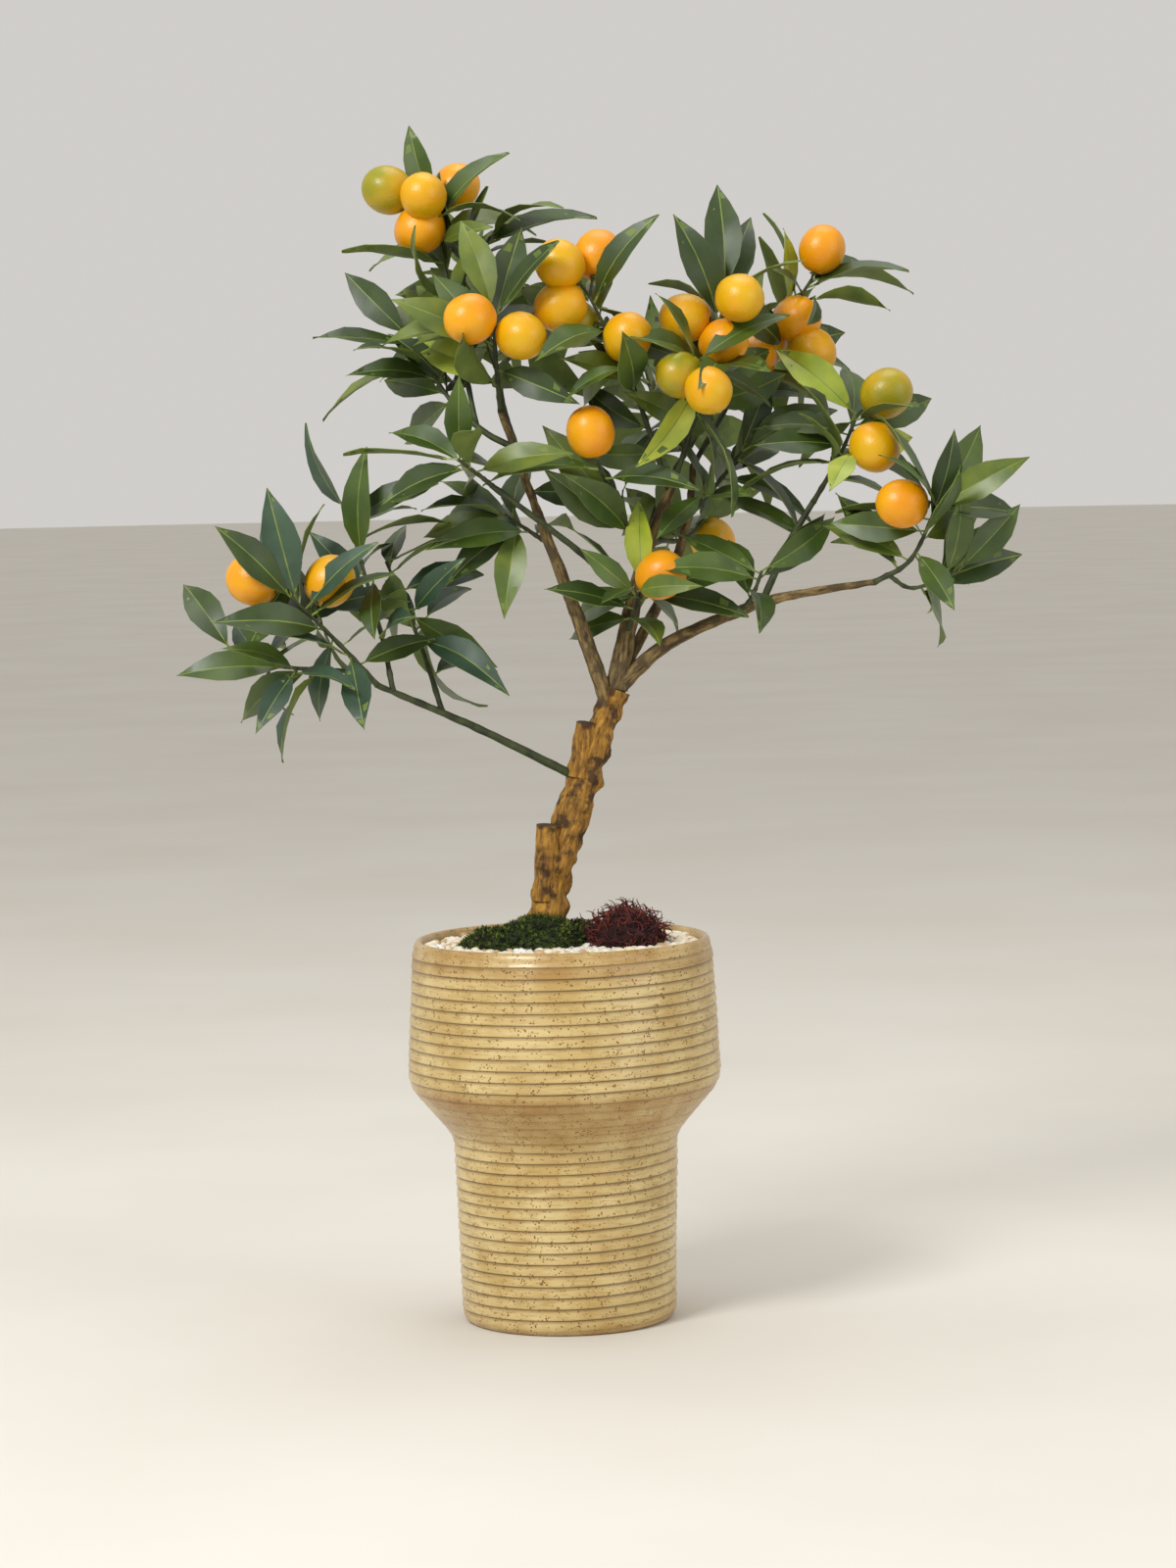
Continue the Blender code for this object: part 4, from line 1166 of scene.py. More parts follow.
def joined(name, meshes):
    """One mesh of several that share their materials and attributes."""
    bm = bmesh.new()
    for mesh in meshes:
        bm.from_mesh(mesh)
    whole = mesh_from(bm, name)
    for material in meshes[0].materials:
        whole.materials.append(material)
    return whole


trunk_widths = smooth_widths([width for middle, width in TRUNK], 2)
woods = (trunk_bark, cut_wood)
trunk_parts = [limb_mesh("trunk_skin", routes["trunk"], trunk_widths, TRUNK_SKIN, woods)]
for stump in (LOW_STUMP, HIGH_STUMP):
    route = smooth_route([middle for middle, width in stump], 4)
    widths = tapered(route, stump[0][1], stump[1][1])
    trunk_parts.append(limb_mesh("stump_skin", route, widths, STUMP_SKIN, woods, cut_end=True))
trunk = new_piece("trunk_bark", joined("trunk_bark", trunk_parts))
finish_piece(trunk, "bark", "trunk")

# %% Boughs

OLD_BOUGHS = ("bough_leader", "bough_left", "bough_right", "bough_second")
for name, bough in BOUGHS.items():
    widths = tapered(routes[name], bough.thick, bough.thin)
    if name in OLD_BOUGHS:
        skin, finish = OLD_BOUGH_SKIN, bough_bark
    else:
        skin, finish = GREEN_BOUGH_SKIN, green_twig
    mesh = limb_mesh(name + "_bark", routes[name], widths, skin, (finish,))
    finish_piece(new_piece(name + "_bark", mesh), "bark", name)

# %% [markdown]
# ## How the crown grows
#
# Each mass of foliage is a stem on a bough, with side twigs on the stem. A shoot has a list of
# clock hours: the ways its leaves point as the tree is seen from the front, from its tip down.
# Further leaves stand round it by the golden angle, as buds do on a real twig. Typing in each leaf
# would never end, and a blind scatter would fill the gaps where the sky shows, so hours and a rule
# share the work.

# %% Masses of foliage as named shoots

Shoot = namedtuple("Shoot", "share via hours around fruit", defaults=((), 0, ()))
Mass = namedtuple("Mass", "carrier stem twigs", defaults=((),))
MASSES = {
    "foliage_low_left_tip": Mass(
        "bough_low_left",
        Shoot(1, ((-134, -46, 435), (-162, -58, 465)),
              (11.5, 10.5, 0.5, 1.5, 2, 10.5, 9.5, 6.5, 2, 5.5, 2), 3,
              ((-186, -52, 476), (-139, -44, 474))),
        (Shoot(0.15, ((-170, -34, 421), (-202, -31, 431)), (10.5, 1, 1.5, 9, 7), 2),),
    ),
    "foliage_low_left_rise": Mass(
        "bough_low_left",
        Shoot(0.93, ((-109, -26, 441), (-129, -12, 516)), (11, 2, 2.5, 12, 8.5, 10, 3.5), 3),
    ),
    "foliage_low_left_inner": Mass(
        "bough_low_left",
        Shoot(0.7, ((-85, -8, 432), (-106, 8, 484)), (2.5, 2, 2.5, 4, 3, 4.5), 4),
    ),
    "foliage_left_low": Mass(
        "bough_left",
        Shoot(0.56, ((-11, -6, 499), (-30, 4, 512)), (8.5, 9.5, 10, 8, 9), 5),
    ),
    "foliage_left_mid": Mass(
        "bough_cross",
        Shoot(1, ((-45, -42, 538), (-58, -50, 548)), (9, 12, 10, 8.5, 2.5), 4),
    ),
    "foliage_left_outer": Mass(
        "bough_upper_left",
        Shoot(1, ((-68, 0, 592), (-88, 12, 625)), (10.5, 9, 0.5, 8.5, 9.5, 9.5), 5),
    ),
    "foliage_left_crown": Mass(
        "bough_left",
        Shoot(1, ((-33, -26, 605), (-34, -34, 638)), (11.5, 1.5, 0.5, 9.5, 10, 2, 2.5, 10),
              6, ((-48, -52, 634), (-17, -48, 623))),
    ),
    "foliage_left_top": Mass(
        "bough_upper_left",
        Shoot(0.79, ((-60, 18, 639), (-71, 28, 704)),
              (11.5, 1.5, 2.5, 10, 9.5, 12, 10.5, 9.5, 8.5, 1, 10.5), 4,
              ((-100, 20, 718), (-77, 6, 713), (-80, 18, 693), (-57, 38, 720))),
        (Shoot(0.5, ((-52, 30, 662), (-36, 38, 688)), (1.5, 2, 2.5, 11, 0.5), 3),),
    ),
    "foliage_mid_top": Mass(
        "bough_leader",
        Shoot(0.93, ((52, -16, 591), (26, -30, 647)), (9, 1, 11.5, 8.5, 2, 8, 10, 10.5, 10, 9),
              4, ((8, -32, 667), (32, -14, 673), (8, -30, 641), (16, -14, 631), (49, -34, 621))),
    ),
    "foliage_single": Mass(
        "bough_leader",
        Shoot(0.59, ((44, -12, 510), (30, -30, 540)), (10.5, 3, 9, 10.5, 10), 3, ((25, -34, 563),)),
    ),
    "foliage_fork": Mass(
        "bough_leader",
        Shoot(0.24, ((52, -8, 455), (55, -18, 465)), (12, 2.5, 9.5, 2.5, 9.5, 9), 3, ((67, -28, 473),)),
    ),
    "foliage_leader_top": Mass(
        "bough_leader",
        Shoot(1, ((99, -10, 596), (111, -14, 647)), (12, 2, 0.5, 11.5, 1.5, 11, 10.5, 2, 2.5, 10, 10.5),
              5, ((119, -34, 644), (109, -16, 617), (86, -8, 633))),
        (Shoot(0.25, ((92, -22, 578), (92, -36, 606)), (2, 11, 9, 10.5, 5), 3,
               ((81, -40, 597), (98, -56, 587))),),
    ),
    "foliage_second": Mass(
        "bough_second",
        Shoot(0.77, ((108, 32, 532), (121, 24, 549)), (2, 4.5, 1, 3.5, 4), 6),
    ),
    "foliage_right_top": Mass(
        "bough_second",
        Shoot(1, ((120, 56, 588), (168, 44, 657)), (3, 2.5, 11.5, 12, 5, 2.5, 3, 2.5, 10), 7,
              ((175, 44, 676), (158, 34, 632), (137, 44, 617), (130, 34, 608), (167, 28, 611))),
    ),
    "foliage_right_low": Mass(
        "bough_right",
        Shoot(0.52, ((124, -20, 458), (130, -26, 474)), (2, 9.5, 10), 4),
    ),
    "foliage_right_rise": Mass(
        "bough_upright",
        Shoot(1, ((180, -10, 543), (192, -14, 570)), (10.5, 2, 2.5, 9.5, 9, 2.5, 11.5, 3.5),
              5, ((210, -20, 583), (201, -38, 550))),
    ),
    "foliage_right_end": Mass(
        "bough_right",
        Shoot(1, ((222, -45, 480), (238, -58, 514)), (10.5, 2, 1, 0.5, 10, 2, 5, 10, 10.5),
              5, ((216, -62, 515),)),
        (Shoot(0.15, ((224, -38, 462), (252, -38, 472)), (1.5, 0.5, 2.5), 2),),
    ),
    "foliage_back_right": Mass(
        "bough_back_right",
        Shoot(1, ((110, 110, 582), (140, 108, 624)), (), 12, ((118, 132, 606),)),
        (Shoot(0.15, ((70, 120, 575), (62, 126, 604)), (), 7),),
    ),
    "foliage_back_low": Mass(
        "bough_back_right", Shoot(0.5, ((84, 88, 492), (98, 112, 504)), (), 9, ((104, 118, 490),))
    ),
    "foliage_back_left": Mass(
        "bough_back_left",
        Shoot(1, ((-40, 96, 630), (-50, 96, 668)), (), 11, ((-30, 118, 640),)),
        (Shoot(0.15, ((-14, 90, 622), (4, 88, 642)), (), 6),),
    ),
}
print("Masses:", len(MASSES), "with fruit:", sum(
    len(shoot.fruit) for mass in MASSES.values() for shoot in (mass.stem, *mass.twigs)))

# %% Sizes of leaves and shoots

LEAF_LENGTH = 66
LEAF_LENGTH_SHARES = (0.82, 1.12)
LEAF_WIDTH_SHARE = 0.37
LEAF_WIDEST = 0.47
LEAF_THICKNESS = 0.9
STEM_THICK = 4.0
TWIG_THICK = 3.2
TWIG_THIN = 2.0
BARE_FOOT = 10
CROWDING = 1.4
SEEN_LEAN = (4, 38)
AROUND_LEAN = (25, 70)
GOLDEN_ANGLE = math.radians(137.5)
GROWTH_SEED = 11
CROWN_MIDDLE = (30, 10)
CROWN_DROOP = 40
BACK_STARTS = 60
OUTWARD_TURN = 0.8
LEAF_ROLL = 0.8
LEAF_ATTEMPTS = 14
LEAF_NUDGE = 0.07
PROBE_START = 0.2
PROBE_SWELL = 0.8
# How much the light above draws a leaf's face, and the least that is left of it on a rising leaf
LIGHT_PULL = 0.9
LEAST_FACE = 0.15
# How the arch, the fold and the drooping tip of a blade measure against its length and width
LEAF_ARCH, LEAF_FOLD, LEAF_DROOP = 0.05, 0.12, 0.06
# How much of its swing to the front or back a shoot's first leaf has, and each next one more
FIRST_SWING, NEXT_SWING = 0.3, 0.2
AROUND_FORWARD = 0.3
Leaf = namedtuple("Leaf", "root direction face length mass")
print("Leaves are", LEAF_LENGTH, "mm long, give or take")

# %% Which way a leaf points


def hour_direction(hour, lean):
    """Direction of a clock hour on the front view, leant away from the viewer by an angle."""
    angle = math.tau * hour / 12
    flat = Vector((math.sin(angle), 0, math.cos(angle)))
    return flat * math.cos(lean) + Vector((0, math.sin(lean), 0))


def leaf_face(direction, outward, roll):
    """The way a leaf's upper side looks: outwards and up to the light, square to the leaf."""
    wish = outward + Vector((0, 0, LIGHT_PULL))
    face = wish - direction * wish.dot(direction)
    if face.length < LEAST_FACE:
        face = direction.orthogonal()
    return (Matrix.Rotation(roll, 3, direction) @ face.normalized()).normalized()


print("A leaf at three o'clock points along", [round(part, 2) for part in hour_direction(3, 0)])

# %% The rule for leaves on a shoot


def leaf_shares(route, places, count):
    """Where a shoot's leaves sit, as shares of the way along: the first one at its tip."""
    leafy = 1 - BARE_FOOT / length_of(route)
    return [1 - leafy * (place / count) ** CROWDING for place in places]


def leaf_wishes(shoot, route, rng):
    """Root, direction and length of each leaf that a shoot would like to grow."""
    seen = leaf_shares(route, range(len(shoot.hours)), len(shoot.hours))
    for number, (hour, share) in enumerate(zip(shoot.hours, seen)):
        root, along = place_along(route, share)
        away = math.sin(GOLDEN_ANGLE * (number + 1)) * min(1, FIRST_SWING + NEXT_SWING * number)
        lean = math.copysign(math.radians(SEEN_LEAN[0]), away) + math.radians(SEEN_LEAN[1]) * away
        yield root, hour_direction(hour, lean), LEAF_LENGTH * rng.uniform(*LEAF_LENGTH_SHARES)
    turn = rng.uniform(0, math.tau)
    between = leaf_shares(route, [number + 0.5 for number in range(shoot.around)], shoot.around)
    for number, share in enumerate(between):
        root, along = place_along(route, share)
        turn += GOLDEN_ANGLE
        away = -1 if number % 3 == 2 else 1
        lean = away * math.radians(rng.uniform(*AROUND_LEAN))
        direction = hour_direction(12 * turn / math.tau, lean) + along * AROUND_FORWARD
        yield root, direction.normalized(), LEAF_LENGTH * rng.uniform(*LEAF_LENGTH_SHARES)


spread = leaf_shares(routes["bough_left"], range(5), 5)
print("Five leaves would sit on a shoot at the shares", [round(share, 2) for share in spread])

# %% [markdown]
# Real leaves do not pass through each other or through twigs, so each new leaf is tried first as
# a blade of eight faces against everything that stands near it. Blender's BVH trees answer that
# in a moment. A leaf in the way is nudged aside, and after some tries it is left out.

# %% Room for a leaf

LEAF_FACES = ((0, 2, 4), (0, 4, 3), (1, 4, 2), (1, 3, 4), (0, 5, 2), (0, 3, 5), (1, 2, 5), (1, 5, 3))
Barrier = namedtuple("Barrier", "middle reach tree")


def leaf_points(root, direction, face, length, start=0.0, swell=0.0):
    """The six corners of a leaf: its root, tip, two edges and both sides of its midrib."""
    side = direction.cross(face).normalized()
    width = length * LEAF_WIDTH_SHARE + swell
    thick = LEAF_THICKNESS + swell
    middle = root + direction * length * LEAF_WIDEST + face * length * LEAF_ARCH
    edge = middle + face * width * LEAF_FOLD
    return [
        root + direction * (start * length if start else -LEAF_THICKNESS),
        root + direction * (length + swell) - face * length * LEAF_DROOP,
        edge + side * width / 2,
        edge - side * width / 2,
        middle + face * thick / 2,
        middle - face * thick / 2,
    ]


def barrier(points, faces):
    """What bars the way for a leaf, with the ball that it lies in."""
    middle = sum(points, Vector()) / len(points)
    reach = max((point - middle).length for point in points)
    return Barrier(middle, reach, BVHTree.FromPolygons(points, faces))


def barred(points, barriers):
    """Whether a leaf runs into any barrier."""
    probe = barrier(points, LEAF_FACES)
    return any((probe.middle - other.middle).length < probe.reach + other.reach
               and probe.tree.overlap(other.tree) for other in barriers)


print("A leaf is tried as", len(LEAF_FACES), "faces, up to", LEAF_ATTEMPTS, "times")

# %% Room round the fruit, and the furthest reach

FRUIT_BARRIER_RADIUS = 16
REACH_SPARE = 5


def ball_barrier(centre):
    """Barrier for one fruit."""
    bm = bmesh.new()
    bmesh.ops.create_icosphere(bm, subdivisions=1, radius=FRUIT_BARRIER_RADIUS)
    points = [vertex.co + centre for vertex in bm.verts]
    faces = [tuple(vertex.index for vertex in face.verts) for face in bm.faces]
    bm.free()
    return barrier(points, faces)


def within_reach(points):
    """Whether a leaf keeps to the plain model's box, but for a few millimetres."""
    spare = REACH_SPARE * MM
    return all(low - spare < value * MM < high + spare
               for point in points for low, value, high in zip(cad_box[0], point, cad_box[1]))


print("Leaves reach at most", REACH_SPARE, "mm past the plain model's box")

# %% Grow the stems, twigs and fruit stalks

Fruit = namedtuple("Fruit", "centre axis mass")
STALK_THICK = 1.8
STALK_RISE = Vector((0, 0, 1.5))
twig_tubes = {name: [] for name in MASSES}
shoot_routes, fruit, barriers, own_fruit = {}, [], [], {}
for name, route in routes.items():
    widths = trunk_widths if name == "trunk" else tapered(route, BOUGHS[name].thick, BOUGHS[name].thin)
    for first in range(0, len(route) - 1, 2):
        piece_end = min(first + 3, len(route))
        barriers.append(barrier(*tube_shape(route[first:piece_end], widths[first:piece_end], 8)))
for name, mass in MASSES.items():
    carrier = routes[mass.carrier]
    stem = shoot_route(mass.stem, carrier)
    thick = min(BOUGHS[mass.carrier].thin, STEM_THICK)
    twig_tubes[name].append((stem, tapered(stem, thick, TWIG_THIN)))
    shoot_routes[name] = [stem]
    for twig in mass.twigs:
        route = shoot_route(twig, stem)
        twig_tubes[name].append((route, tapered(route, TWIG_THICK, TWIG_THIN)))
        shoot_routes[name].append(route)
    own_fruit[name] = []
    for shoot, route in zip((mass.stem, *mass.twigs), shoot_routes[name]):
        for centre in (Vector(middle) for middle in shoot.fruit):
            root = min(route[2:], key=lambda point: (point - centre).length)
            axis = (centre - root).normalized()
            fruit.append(Fruit(centre, axis, name))
            own_fruit[name].append(ball_barrier(centre))
            stalk = smooth_route([root, (root * 2 + centre) / 3 + STALK_RISE, centre], 3)
            twig_tubes[name].append((stalk, tapered(stalk, STALK_THICK, STALK_THICK)))
print("Fruit:", len(fruit), "shoots:", sum(len(found) for found in shoot_routes.values()))

# %% Grow the leaves, mass by mass

leaves, finished_leaves, frames = [], [], {}
for name in MASSES:
    frames[name] = [barrier(*tube_shape(route, widths, 3)) for route, widths in twig_tubes[name]]
    frames[name] += own_fruit[name]


def in_the_way_of(name):
    """Barriers to a mass: the limbs, the finished leaves, and the twigs and fruit of other masses."""
    others = barriers + finished_leaves
    for other in MASSES:
        if other != name:
            others += frames[other]
    return others


def grow(wishes, name, route, rng, others, own):
    """Turn wishes into leaves where there is room."""
    heart = Vector((*CROWN_MIDDLE, route[-1].z - CROWN_DROOP))
    front = Vector((0, -1, 0)) if route[-1].y < BACK_STARTS else Vector((0, 1, 0))
    for root, wish, length in wishes:
        outward = (root - heart).normalized() + front * OUTWARD_TURN
        for attempt in range(LEAF_ATTEMPTS):
            nudge = Vector([rng.uniform(-1, 1) for axis in range(3)]) * LEAF_NUDGE * attempt
            direction = (wish + nudge).normalized()
            face = leaf_face(direction, outward, rng.uniform(-LEAF_ROLL, LEAF_ROLL))
            whole = leaf_points(root, direction, face, length, 0, PROBE_SWELL)
            blade = leaf_points(root, direction, face, length, PROBE_START, PROBE_SWELL)
            if within_reach(whole) and not barred(whole, others) and not barred(blade, own):
                leaves.append(Leaf(root, direction, face, length, name))
                own.append(barrier(blade, LEAF_FACES))
                break


for number, (name, mass) in enumerate(MASSES.items()):
    rng = random.Random(GROWTH_SEED + number)
    others, own = in_the_way_of(name), list(own_fruit[name])
    for shoot, route in zip((mass.stem, *mass.twigs), shoot_routes[name]):
        grow(leaf_wishes(shoot, route, rng), name, route, rng, others, own)
    finished_leaves += own[len(own_fruit[name]):]
print("Leaves by the hours and the golden angle:", len(leaves))

# %% [markdown]
# The frame stops there, because a solid model can only have so many faces. A real shoot goes on
# to finer twigs. So each shoot gets a few twiglets with smaller leaves of their own. They lean to
# the front and the back, which fills the crown's depth and leaves its outline and its gaps alone.

# %% Finer twigs within the same reach

TWIGLET_LENGTHS = (16, 30)
TWIGLET_THICK = 1.6
TWIGLET_THIN = 1.1
TWIGLET_LEAN = (48, 82)
TWIGLET_LEAVES = 3
TWIGLET_RISE = 0.12
TWIGLET_SPACING = 40
# Twiglets stand on a shoot from its first share on, over this much of it
TWIGLET_FIRST, TWIGLET_RANGE = 0.3, 0.65
FRONT_CHANCE = 0.3
TWIGLET_FORWARD = 0.5
# Its leaves stand a step apart, and each points less ahead than the one before
SMALL_LEAF = 0.74
SMALL_LEAF_SHARES = (0.8, 1.1)
LEAF_STEP = 0.3
LEAF_AHEAD, AHEAD_LOSS, LEAF_ASIDE = 1.3, 0.4, 0.75
rng = random.Random(29)
for name in MASSES:
    others, own = in_the_way_of(name), list(own_fruit[name])
    for route in shoot_routes[name]:
        for number in range(int(length_of(route) / TWIGLET_SPACING)):
            root, along = place_along(route, TWIGLET_FIRST + TWIGLET_RANGE * rng.random())
            away = -1 if rng.random() < FRONT_CHANCE else 1
            lean = away * math.radians(rng.uniform(*TWIGLET_LEAN))
            heading = hour_direction(rng.uniform(0, 12), lean) + along * TWIGLET_FORWARD
            heading.normalize()
            length = rng.uniform(*TWIGLET_LENGTHS)
            tip = root + heading * length + Vector((0, 0, TWIGLET_RISE * length))
            twiglet = smooth_route([root, root + heading * length * 0.5, tip], 2)
            found = len(leaves)
            wishes = []
            for place in range(TWIGLET_LEAVES):
                spread = Matrix.Rotation(GOLDEN_ANGLE * place, 3, heading) @ heading.orthogonal()
                direction = heading * (LEAF_AHEAD - AHEAD_LOSS * place) + spread * LEAF_ASIDE
                direction.normalize()
                spot, ahead = place_along(twiglet, 1 - LEAF_STEP * place)
                length = LEAF_LENGTH * SMALL_LEAF * rng.uniform(*SMALL_LEAF_SHARES)
                wishes.append((spot, direction, length))
            grow(wishes, name, twiglet, rng, others, own)
            if len(leaves) > found:
                twig_tubes[name].append((twiglet, tapered(twiglet, TWIGLET_THICK, TWIGLET_THIN)))
    finished_leaves += own[len(own_fruit[name]):]
print("Leaves with those of the finer twigs:", len(leaves))

# %% [markdown]
# ## Twigs
#
# Twigs are green, thin and slightly thicker where a leaf leaves them. A curve with a bevel would
# do, but a tube made ring by ring can swell at those nodes. Each mass gets its own piece of twigs,
# so it can stand for its own solid in the frame.

# %% Twig meshes

TWIG_SIDES = 7
# Every third ring is a node, where a twig is thicker
NODE_EVERY = 3
AT_NODES, BETWEEN_NODES = 1.14, 0.94
for name in MASSES:
    points, faces = [], []
    for route, widths in twig_tubes[name]:
        fine = smooth_route(route, NODE_EVERY)
        wide = [width * (BETWEEN_NODES if ring % NODE_EVERY else AT_NODES)
                for ring, width in enumerate(smooth_widths(widths, NODE_EVERY))]
        more_points, more_faces = tube_shape(fine, wide, TWIG_SIDES)
        faces += [tuple(corner + len(points) for corner in face) for face in more_faces]
        points += [point * MM for point in more_points]
    mesh = mesh_of(name + "_twigs", points, faces)
    mesh.materials.append(green_twig)
    finish_piece(new_piece(name + "_twigs", mesh), "foliage", name)

# %% [markdown]
# ## One leaf, six ways
#
# A kumquat leaf is a long pointed oval, folded along a pale midrib, glossy and dark above and
# dull and paler below, with a thin light edge. Six shapes with different curl, fold and twist are
# enough, because size and direction vary too. Each shape is a thin closed blade of a few dozen
# faces, and its tones say which are upper side, rib and edge, and underside.

# %% Sizes of a blade

# All these sizes are shares of a leaf's length
BLADE_FOOT = 0.09
BLADE_WIDTH = 0.33
BLADE_THICK = 0.006
BLADE_ARCH = 0.05
RIB_WIDTH = 0.0055
# The blade's own stalk is a thin prism, given by the place along, and height, of its two ends
STALK_RADIUS = 0.012
STALK_ENDS = ((-0.01, -0.004), (BLADE_FOOT + 0.05, 0.004))
# How wide the blade is at places along it
OUTLINE = (
    (0, 0.05), (0.1, 0.4), (0.25, 0.78), (0.44, 1.0),
    (0.62, 0.88), (0.8, 0.52), (0.93, 0.17), (1, 0.01),
)
# Points across the upper side, and how much of the ripple lifts each: the edges most
ROW_LIFTS = (1, 0, -0.2, 0, 1)
# Three points more lie below each row: under both its edges and its rib
ROW_POINTS = len(ROW_LIFTS) + 3
# The edges ripple by this many radians along the blade, one edge behind the other
RIPPLE_TURN, RIPPLE_LAG = 9, 2
# Tones of the upper side, of the rib and edge, and of the underside
UPPER, RIB, UNDER = 0, 1, 2
print("Rows along a blade:", len(OUTLINE))

# %% Leaf shapes

LeafForm = namedtuple("LeafForm", "curl fold bend twist ripple")
LEAF_FORMS = (
    LeafForm(0.10, 0.20, 0.02, 0.1, 0.010),
    LeafForm(0.20, 0.26, -0.04, -0.2, 0.014),
    LeafForm(0.04, 0.16, 0.05, 0.25, 0.012),
    LeafForm(0.30, 0.30, 0.0, -0.1, 0.010),
    LeafForm(0.14, 0.42, -0.03, 0.3, 0.016),
    LeafForm(-0.06, 0.22, 0.03, -0.3, 0.014),
)


def leaf_shape(name, form):
    """Leaf one unit long along Y, with its upper side towards Z."""
    points, faces, tones = [], [], []
    for number, (share, width) in enumerate(OUTLINE):
        y = BLADE_FOOT + (1 - BLADE_FOOT) * share
        spread = BLADE_WIDTH / 2 * width
        rib = min(RIB_WIDTH, spread * 0.5)
        angle = form.twist * share
        sag = -form.curl * share ** 2 + BLADE_ARCH * math.sin(math.pi * share)
        aside = form.bend * share ** 2
        row = []
        for x, lift in zip((-spread, -rib, 0, rib, spread), ROW_LIFTS):
            wave = math.sin(RIPPLE_TURN * share + (0 if x < 0 else RIPPLE_LAG))
            rise = form.fold * abs(x) + lift * form.ripple * wave
            row.append((x * math.cos(angle) - rise * math.sin(angle) + aside, y,
                        x * math.sin(angle) + rise * math.cos(angle) + sag))
        points += row + [(x, y, z - BLADE_THICK) for x, y, z in row[::2]]
        if number:
            a, b = (number - 1) * ROW_POINTS, number * ROW_POINTS
            faces += [(a + n, a + n + 1, b + n + 1, b + n) for n in range(4)]
            faces += [(a + 6, a + 5, b + 5, b + 6), (a + 7, a + 6, b + 6, b + 7)]
            faces += [(a, b, b + 5, a + 5), (a + 4, a + 7, b + 7, b + 4)]
            tones += [UPPER, RIB, RIB, UPPER, UNDER, UNDER, RIB, RIB]
    faces += [tuple(b + n for n in (0, 1, 2, 3, 4, 7, 6, 5)), (5, 6, 7, 4, 3, 2, 1, 0)]
    stalk = len(points)
    for y, z in STALK_ENDS:
        for corner in range(3):
            angle = math.tau * corner / 3 + math.pi / 2
            points.append((STALK_RADIUS * math.cos(angle), y, z + STALK_RADIUS * math.sin(angle)))
    faces += ring_faces(stalk + 3, stalk, 3)
    faces += [(stalk, stalk + 1, stalk + 2), (stalk + 5, stalk + 4, stalk + 3)]
    mesh = mesh_of(name, points, faces, sharp_angle=55)
    set_tones(mesh, tones + [RIB] * (len(faces) - len(tones)))
    return mesh


leaf_shapes = shape_collection(
    "leaf_form", [leaf_shape(f"leaf_form_{n}", form) for n, form in enumerate(LEAF_FORMS)])

# %% [markdown]
# Leaf colour has a place: grown leaves are deep green, those in the light run to olive, those low
# on the left are painted in shade with a bluish sheen that stands for the sky's reflection, and a
# few new ones are bright. Painting that with a pattern would not survive export on so many small
# faces, so every leaf gets one of five green finishes by its mass and by chance. The waxy skin is
# a thin coat over a rougher blade.

# %% Leaf finishes

WAX = {"Roughness": 0.45, "Coat_Weight": 0.2, "Coat_Roughness": 0.3}
blade_finishes = {
    "deep": cloudy_finish("grown_leaf_deep", "#364A14", "#24380C", 24, 0.12, WAX),
    "mid": cloudy_finish("grown_leaf_green", "#4A6019", "#324A10", 24, 0.12, WAX),
    "olive": cloudy_finish("sunlit_leaf_olive", "#6C7A24", "#4A5F1A", 24, 0.12, WAX),
    # Painted shade with a painted bluish reflection of the sky, for leaves low on the left
    "bloom": cloudy_finish("leaf_painted_shade_and_sky_sheen", "#37513A", "#233C29", 24, 0.12, WAX),
    "young": cloudy_finish("young_leaf_bright", "#A6AF2E", "#7F9226", 24, 0.12, WAX),
}
# The midrib and the cut edge are thinner and let light through, so they look pale
leaf_rib = cloudy_finish("leaf_rib_and_edge", "#7F8E40", "#61752F", 12, 0.05, {"Roughness": 0.5})
# The underside has no wax on it, so it is dull
leaf_underside = cloudy_finish(
    "leaf_underside_matt", "#6C7E34", "#4C6126", 20, 0.1, {"Roughness": 0.65})
print("Leaf finishes:", list(blade_finishes))

# %% Points for the placing rule


def points_piece(name, items, turn_of, sizes, kinds):
    """Piece that is only points, with what the placing rule needs to know at each."""
    mesh = bpy.data.meshes.new(name)
    mesh.from_pydata([item * MM for item in items], [], [])
    for label, kind, key, values in (
            ("turn", "FLOAT_VECTOR", "vector", [value for turn in turn_of for value in turn]),
            ("size", "FLOAT", "value", sizes),
            ("kind", "INT", "value", kinds)):
        mesh.attributes.new(label, kind, "POINT").data.foreach_set(key, values)
    return new_piece(name, mesh)


print("A leaf is a point with a turn, a size and a kind")

# %% Deal out the greens and set the leaves out

SHADE_AND_SHEEN_MASSES = ("foliage_low_left_tip", "foliage_low_left_rise", "foliage_low_left_inner")
# Chance limits: a leaf of those masses gets the painted shade and sky sheen below the first, and is
# deep below the second
SHADE_AND_SHEEN_CHANCE, DEEP_CHANCE = 0.55, 0.85
# Any other leaf is young below the first, olive for the second beyond it, and mid below the third
YOUNG_CHANCE, OLIVE_CHANCE, MID_CHANCE = 0.04, 0.2, 0.6
# Leaves above this height stand in the light, and more of them are olive
SUNLIT_HEIGHT = 600
SUNLIT_OLIVE = 0.14
rng = random.Random(17)


